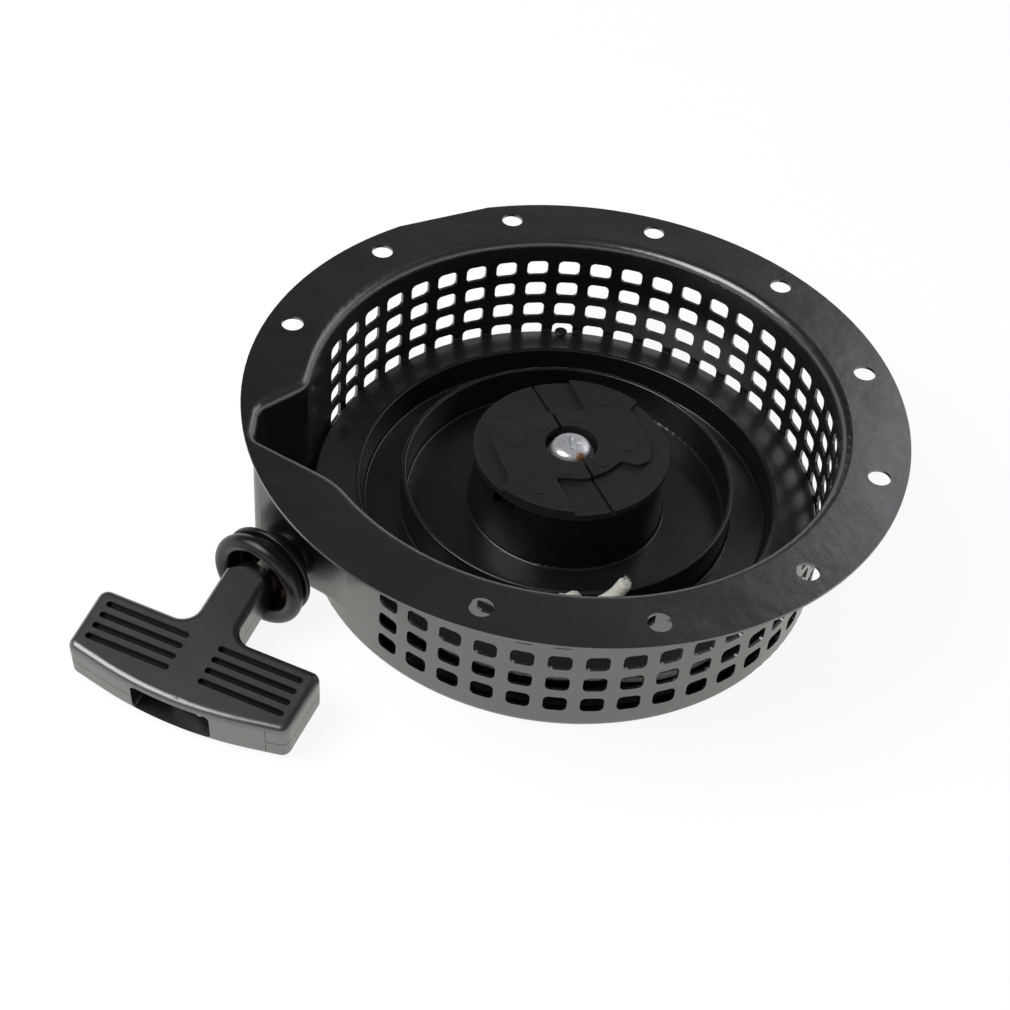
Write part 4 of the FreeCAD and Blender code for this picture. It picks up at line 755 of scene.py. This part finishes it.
def cross_cutter(length, width, depth, top, angle):
    """A tapered cross, wide at the top, that cuts the recess."""
    cutter = bmesh.new()
    half, thin = length / 2, width / 2
    plan = [(half, thin), (thin, thin), (thin, half), (-thin, half), (-thin, thin), (-half, thin),
            (-half, -thin), (-thin, -thin), (-thin, -half), (thin, -half), (thin, -thin), (half, -thin)]
    rings = []
    for z, share, narrow in ((top, 1.12, 1.15), (top - depth, 0.42, 0.55)):
        ring = []
        for x, y in plan:
            px = x * (share if abs(x) > thin * 1.01 else narrow)
            py = y * (share if abs(y) > thin * 1.01 else narrow)
            ring.append(cutter.verts.new(Vector((px, py, z)) * MM))
        rings.append(ring)
    for index in range(len(plan)):
        following = (index + 1) % len(plan)
        cutter.faces.new((rings[1][index], rings[1][following], rings[0][following], rings[0][index]))
    cutter.faces.new(rings[0])
    cutter.faces.new(list(reversed(rings[1])))
    bmesh.ops.rotate(cutter, verts=cutter.verts, cent=(0, 0, 0), matrix=turned_by(angle, "Z"))
    bmesh.ops.recalc_face_normals(cutter, faces=cutter.faces)
    mesh = bpy.data.meshes.new("cross")
    cutter.to_mesh(mesh)
    cutter.free()
    return mesh


screw = revolved("Centre_screw", smooth_profile(SCREW_PROFILE, rounds=2), zinc, steps=128)
cross = cross_cutter(length=8.6, width=1.9, depth=3.0, top=-23.1, angle=28)
cutter = bpy.data.objects.new("cross", cross)
bpy.context.scene.collection.objects.link(cutter)
cut = screw.modifiers.new("cross", "BOOLEAN")
cut.operation = "DIFFERENCE"
cut.solver = "EXACT"
cut.object = cutter
apply_modifiers(screw)
bpy.data.objects.remove(cutter)
dress(screw, zinc)
screw.data.set_sharp_from_angle(angle=SCREW_SHARP_ANGLE)
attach(screw, "housing_body")
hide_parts("centre_screw")


# ---------------------------------------------------------------- floor, light and camera
def plain_floor():
    """White to the camera and in reflections, and plain paint to everything else; shadows stay."""
    material, n = new_material("Floor")
    path = n.add("ShaderNodeLightPath")
    seen = path.outputs["Is Camera Ray"]
    mirrored = n.maths("MAXIMUM", path.outputs["Is Glossy Ray"], path.outputs["Is Transmission Ray"])
    paint = n.add("ShaderNodeBsdfDiffuse", {"Color": (0.80, 0.80, 0.79, 1.0)})
    white = n.add("ShaderNodeEmission", {"Color": n.mixed(mirrored, (1.0, 1.0, 1.0), (1.0, 0.965, 0.92)),
                                         "Strength": 0.90})
    shaded = n.add("ShaderNodeBsdfDiffuse", {"Color": (0.17, 0.17, 0.17, 1.0)})
    lit = n.add("ShaderNodeAddShader", {0: shaded.outputs[0], 1: white.outputs[0]})
    n.surface(n.add("ShaderNodeMixShader", {0: n.maths("MAXIMUM", seen, mirrored), 1: paint.outputs[0],
                                            2: lit.outputs[0]}))
    return material


FLOOR_GAP = 0.00005
floor_mesh = bpy.data.meshes.new("Floor")
floor_shape = bmesh.new()
bmesh.ops.create_grid(floor_shape, x_segments=1, y_segments=1, size=4.0)
floor_shape.to_mesh(floor_mesh)
floor_shape.free()
floor = bpy.data.objects.new("Floor", floor_mesh)
floor.location = (0.0, 0.0, cad_low.z - FLOOR_GAP)
bpy.context.scene.collection.objects.link(floor)
floor_mesh.materials.append(plain_floor())


def studio_sky():
    """A sky that is bright at the horizon and dim above, and darker on the left."""
    world = bpy.data.worlds.new("Studio")
    n = Nodes(world)
    direction = n.add("ShaderNodeTexCoord").outputs["Generated"]
    parts = n.add("ShaderNodeSeparateXYZ", {"Vector": direction})
    height, side = parts.outputs["Z"], parts.outputs["X"]
    sky = n.ramp(height, [(0.0, (1.0, 0.98, 0.96)), (0.16, (0.82, 0.81, 0.81)), (0.38, (0.22, 0.22, 0.24)),
                          (0.55, (0.150, 0.150, 0.164)), (0.65, (0.048, 0.048, 0.054)),
                          (0.75, (0.115, 0.115, 0.128)), (1.0, (0.12, 0.12, 0.134))])
    on_left = n.span(side, -0.36, -0.24, 1.0, 0.0)
    above_horizon = n.span(height, 0.15, 0.35, 0.0, 1.0)
    darkened = n.maths("MULTIPLY", n.maths("MULTIPLY", on_left, above_horizon), 0.8)
    sky = n.mixed(darkened, sky, (0.03, 0.03, 0.034))
    background = n.add("ShaderNodeBackground", {"Color": sky, "Strength": 1.0})
    output = n.add("ShaderNodeOutputWorld")
    n.tree.links.new(background.outputs[0], output.inputs["Surface"])
    return world


bpy.context.scene.world = studio_sky()


LAMP_TARGET = (0, 0, -0.03)


def softbox(name, place, width, length, power, colour=(1.0, 1.0, 1.0)):
    """An area lamp that looks at the middle of the part."""
    data = bpy.data.lights.new(name, "AREA")
    data.shape = "RECTANGLE"
    data.size, data.size_y = width, length
    data.energy = power
    data.color = colour
    lamp = bpy.data.objects.new(name, data)
    lamp.location = place
    lamp.rotation_euler = (Vector(LAMP_TARGET) - Vector(place)).to_track_quat("-Z", "Y").to_euler()
    bpy.context.scene.collection.objects.link(lamp)


softbox("Key", (-0.75, -0.55, 1.15), width=1.05, length=1.05, power=14.5)
softbox("Back", (0.55, 1.05, 0.85), width=1.0, length=0.6, power=2.2, colour=(0.94, 0.96, 1.0))

CAMERA_PLACE = Vector((0.1120, -0.5534, 0.4763))
AZIMUTH, ELEVATION, ROLL = math.radians(13.93), math.radians(43.67), math.radians(5.64)
camera_data = bpy.data.cameras.new("Camera")
camera_data.lens = 66.23
camera_data.sensor_width = 36.0
camera = bpy.data.objects.new("Camera", camera_data)
bpy.context.scene.collection.objects.link(camera)
bpy.context.scene.camera = camera
back = Vector((math.sin(AZIMUTH) * math.cos(ELEVATION), -math.cos(AZIMUTH) * math.cos(ELEVATION),
               math.sin(ELEVATION)))
level_right = Vector((math.cos(AZIMUTH), math.sin(AZIMUTH), 0.0))
level_up = back.cross(level_right)
right = level_right * math.cos(ROLL) + level_up * math.sin(ROLL)
up = level_up * math.cos(ROLL) - level_right * math.sin(ROLL)
camera_turn = Matrix((right, up, back)).transposed()
camera.matrix_world = Matrix.Translation(CAMERA_PLACE) @ camera_turn.to_4x4()

bpy.context.scene.view_settings.view_transform = "Standard"
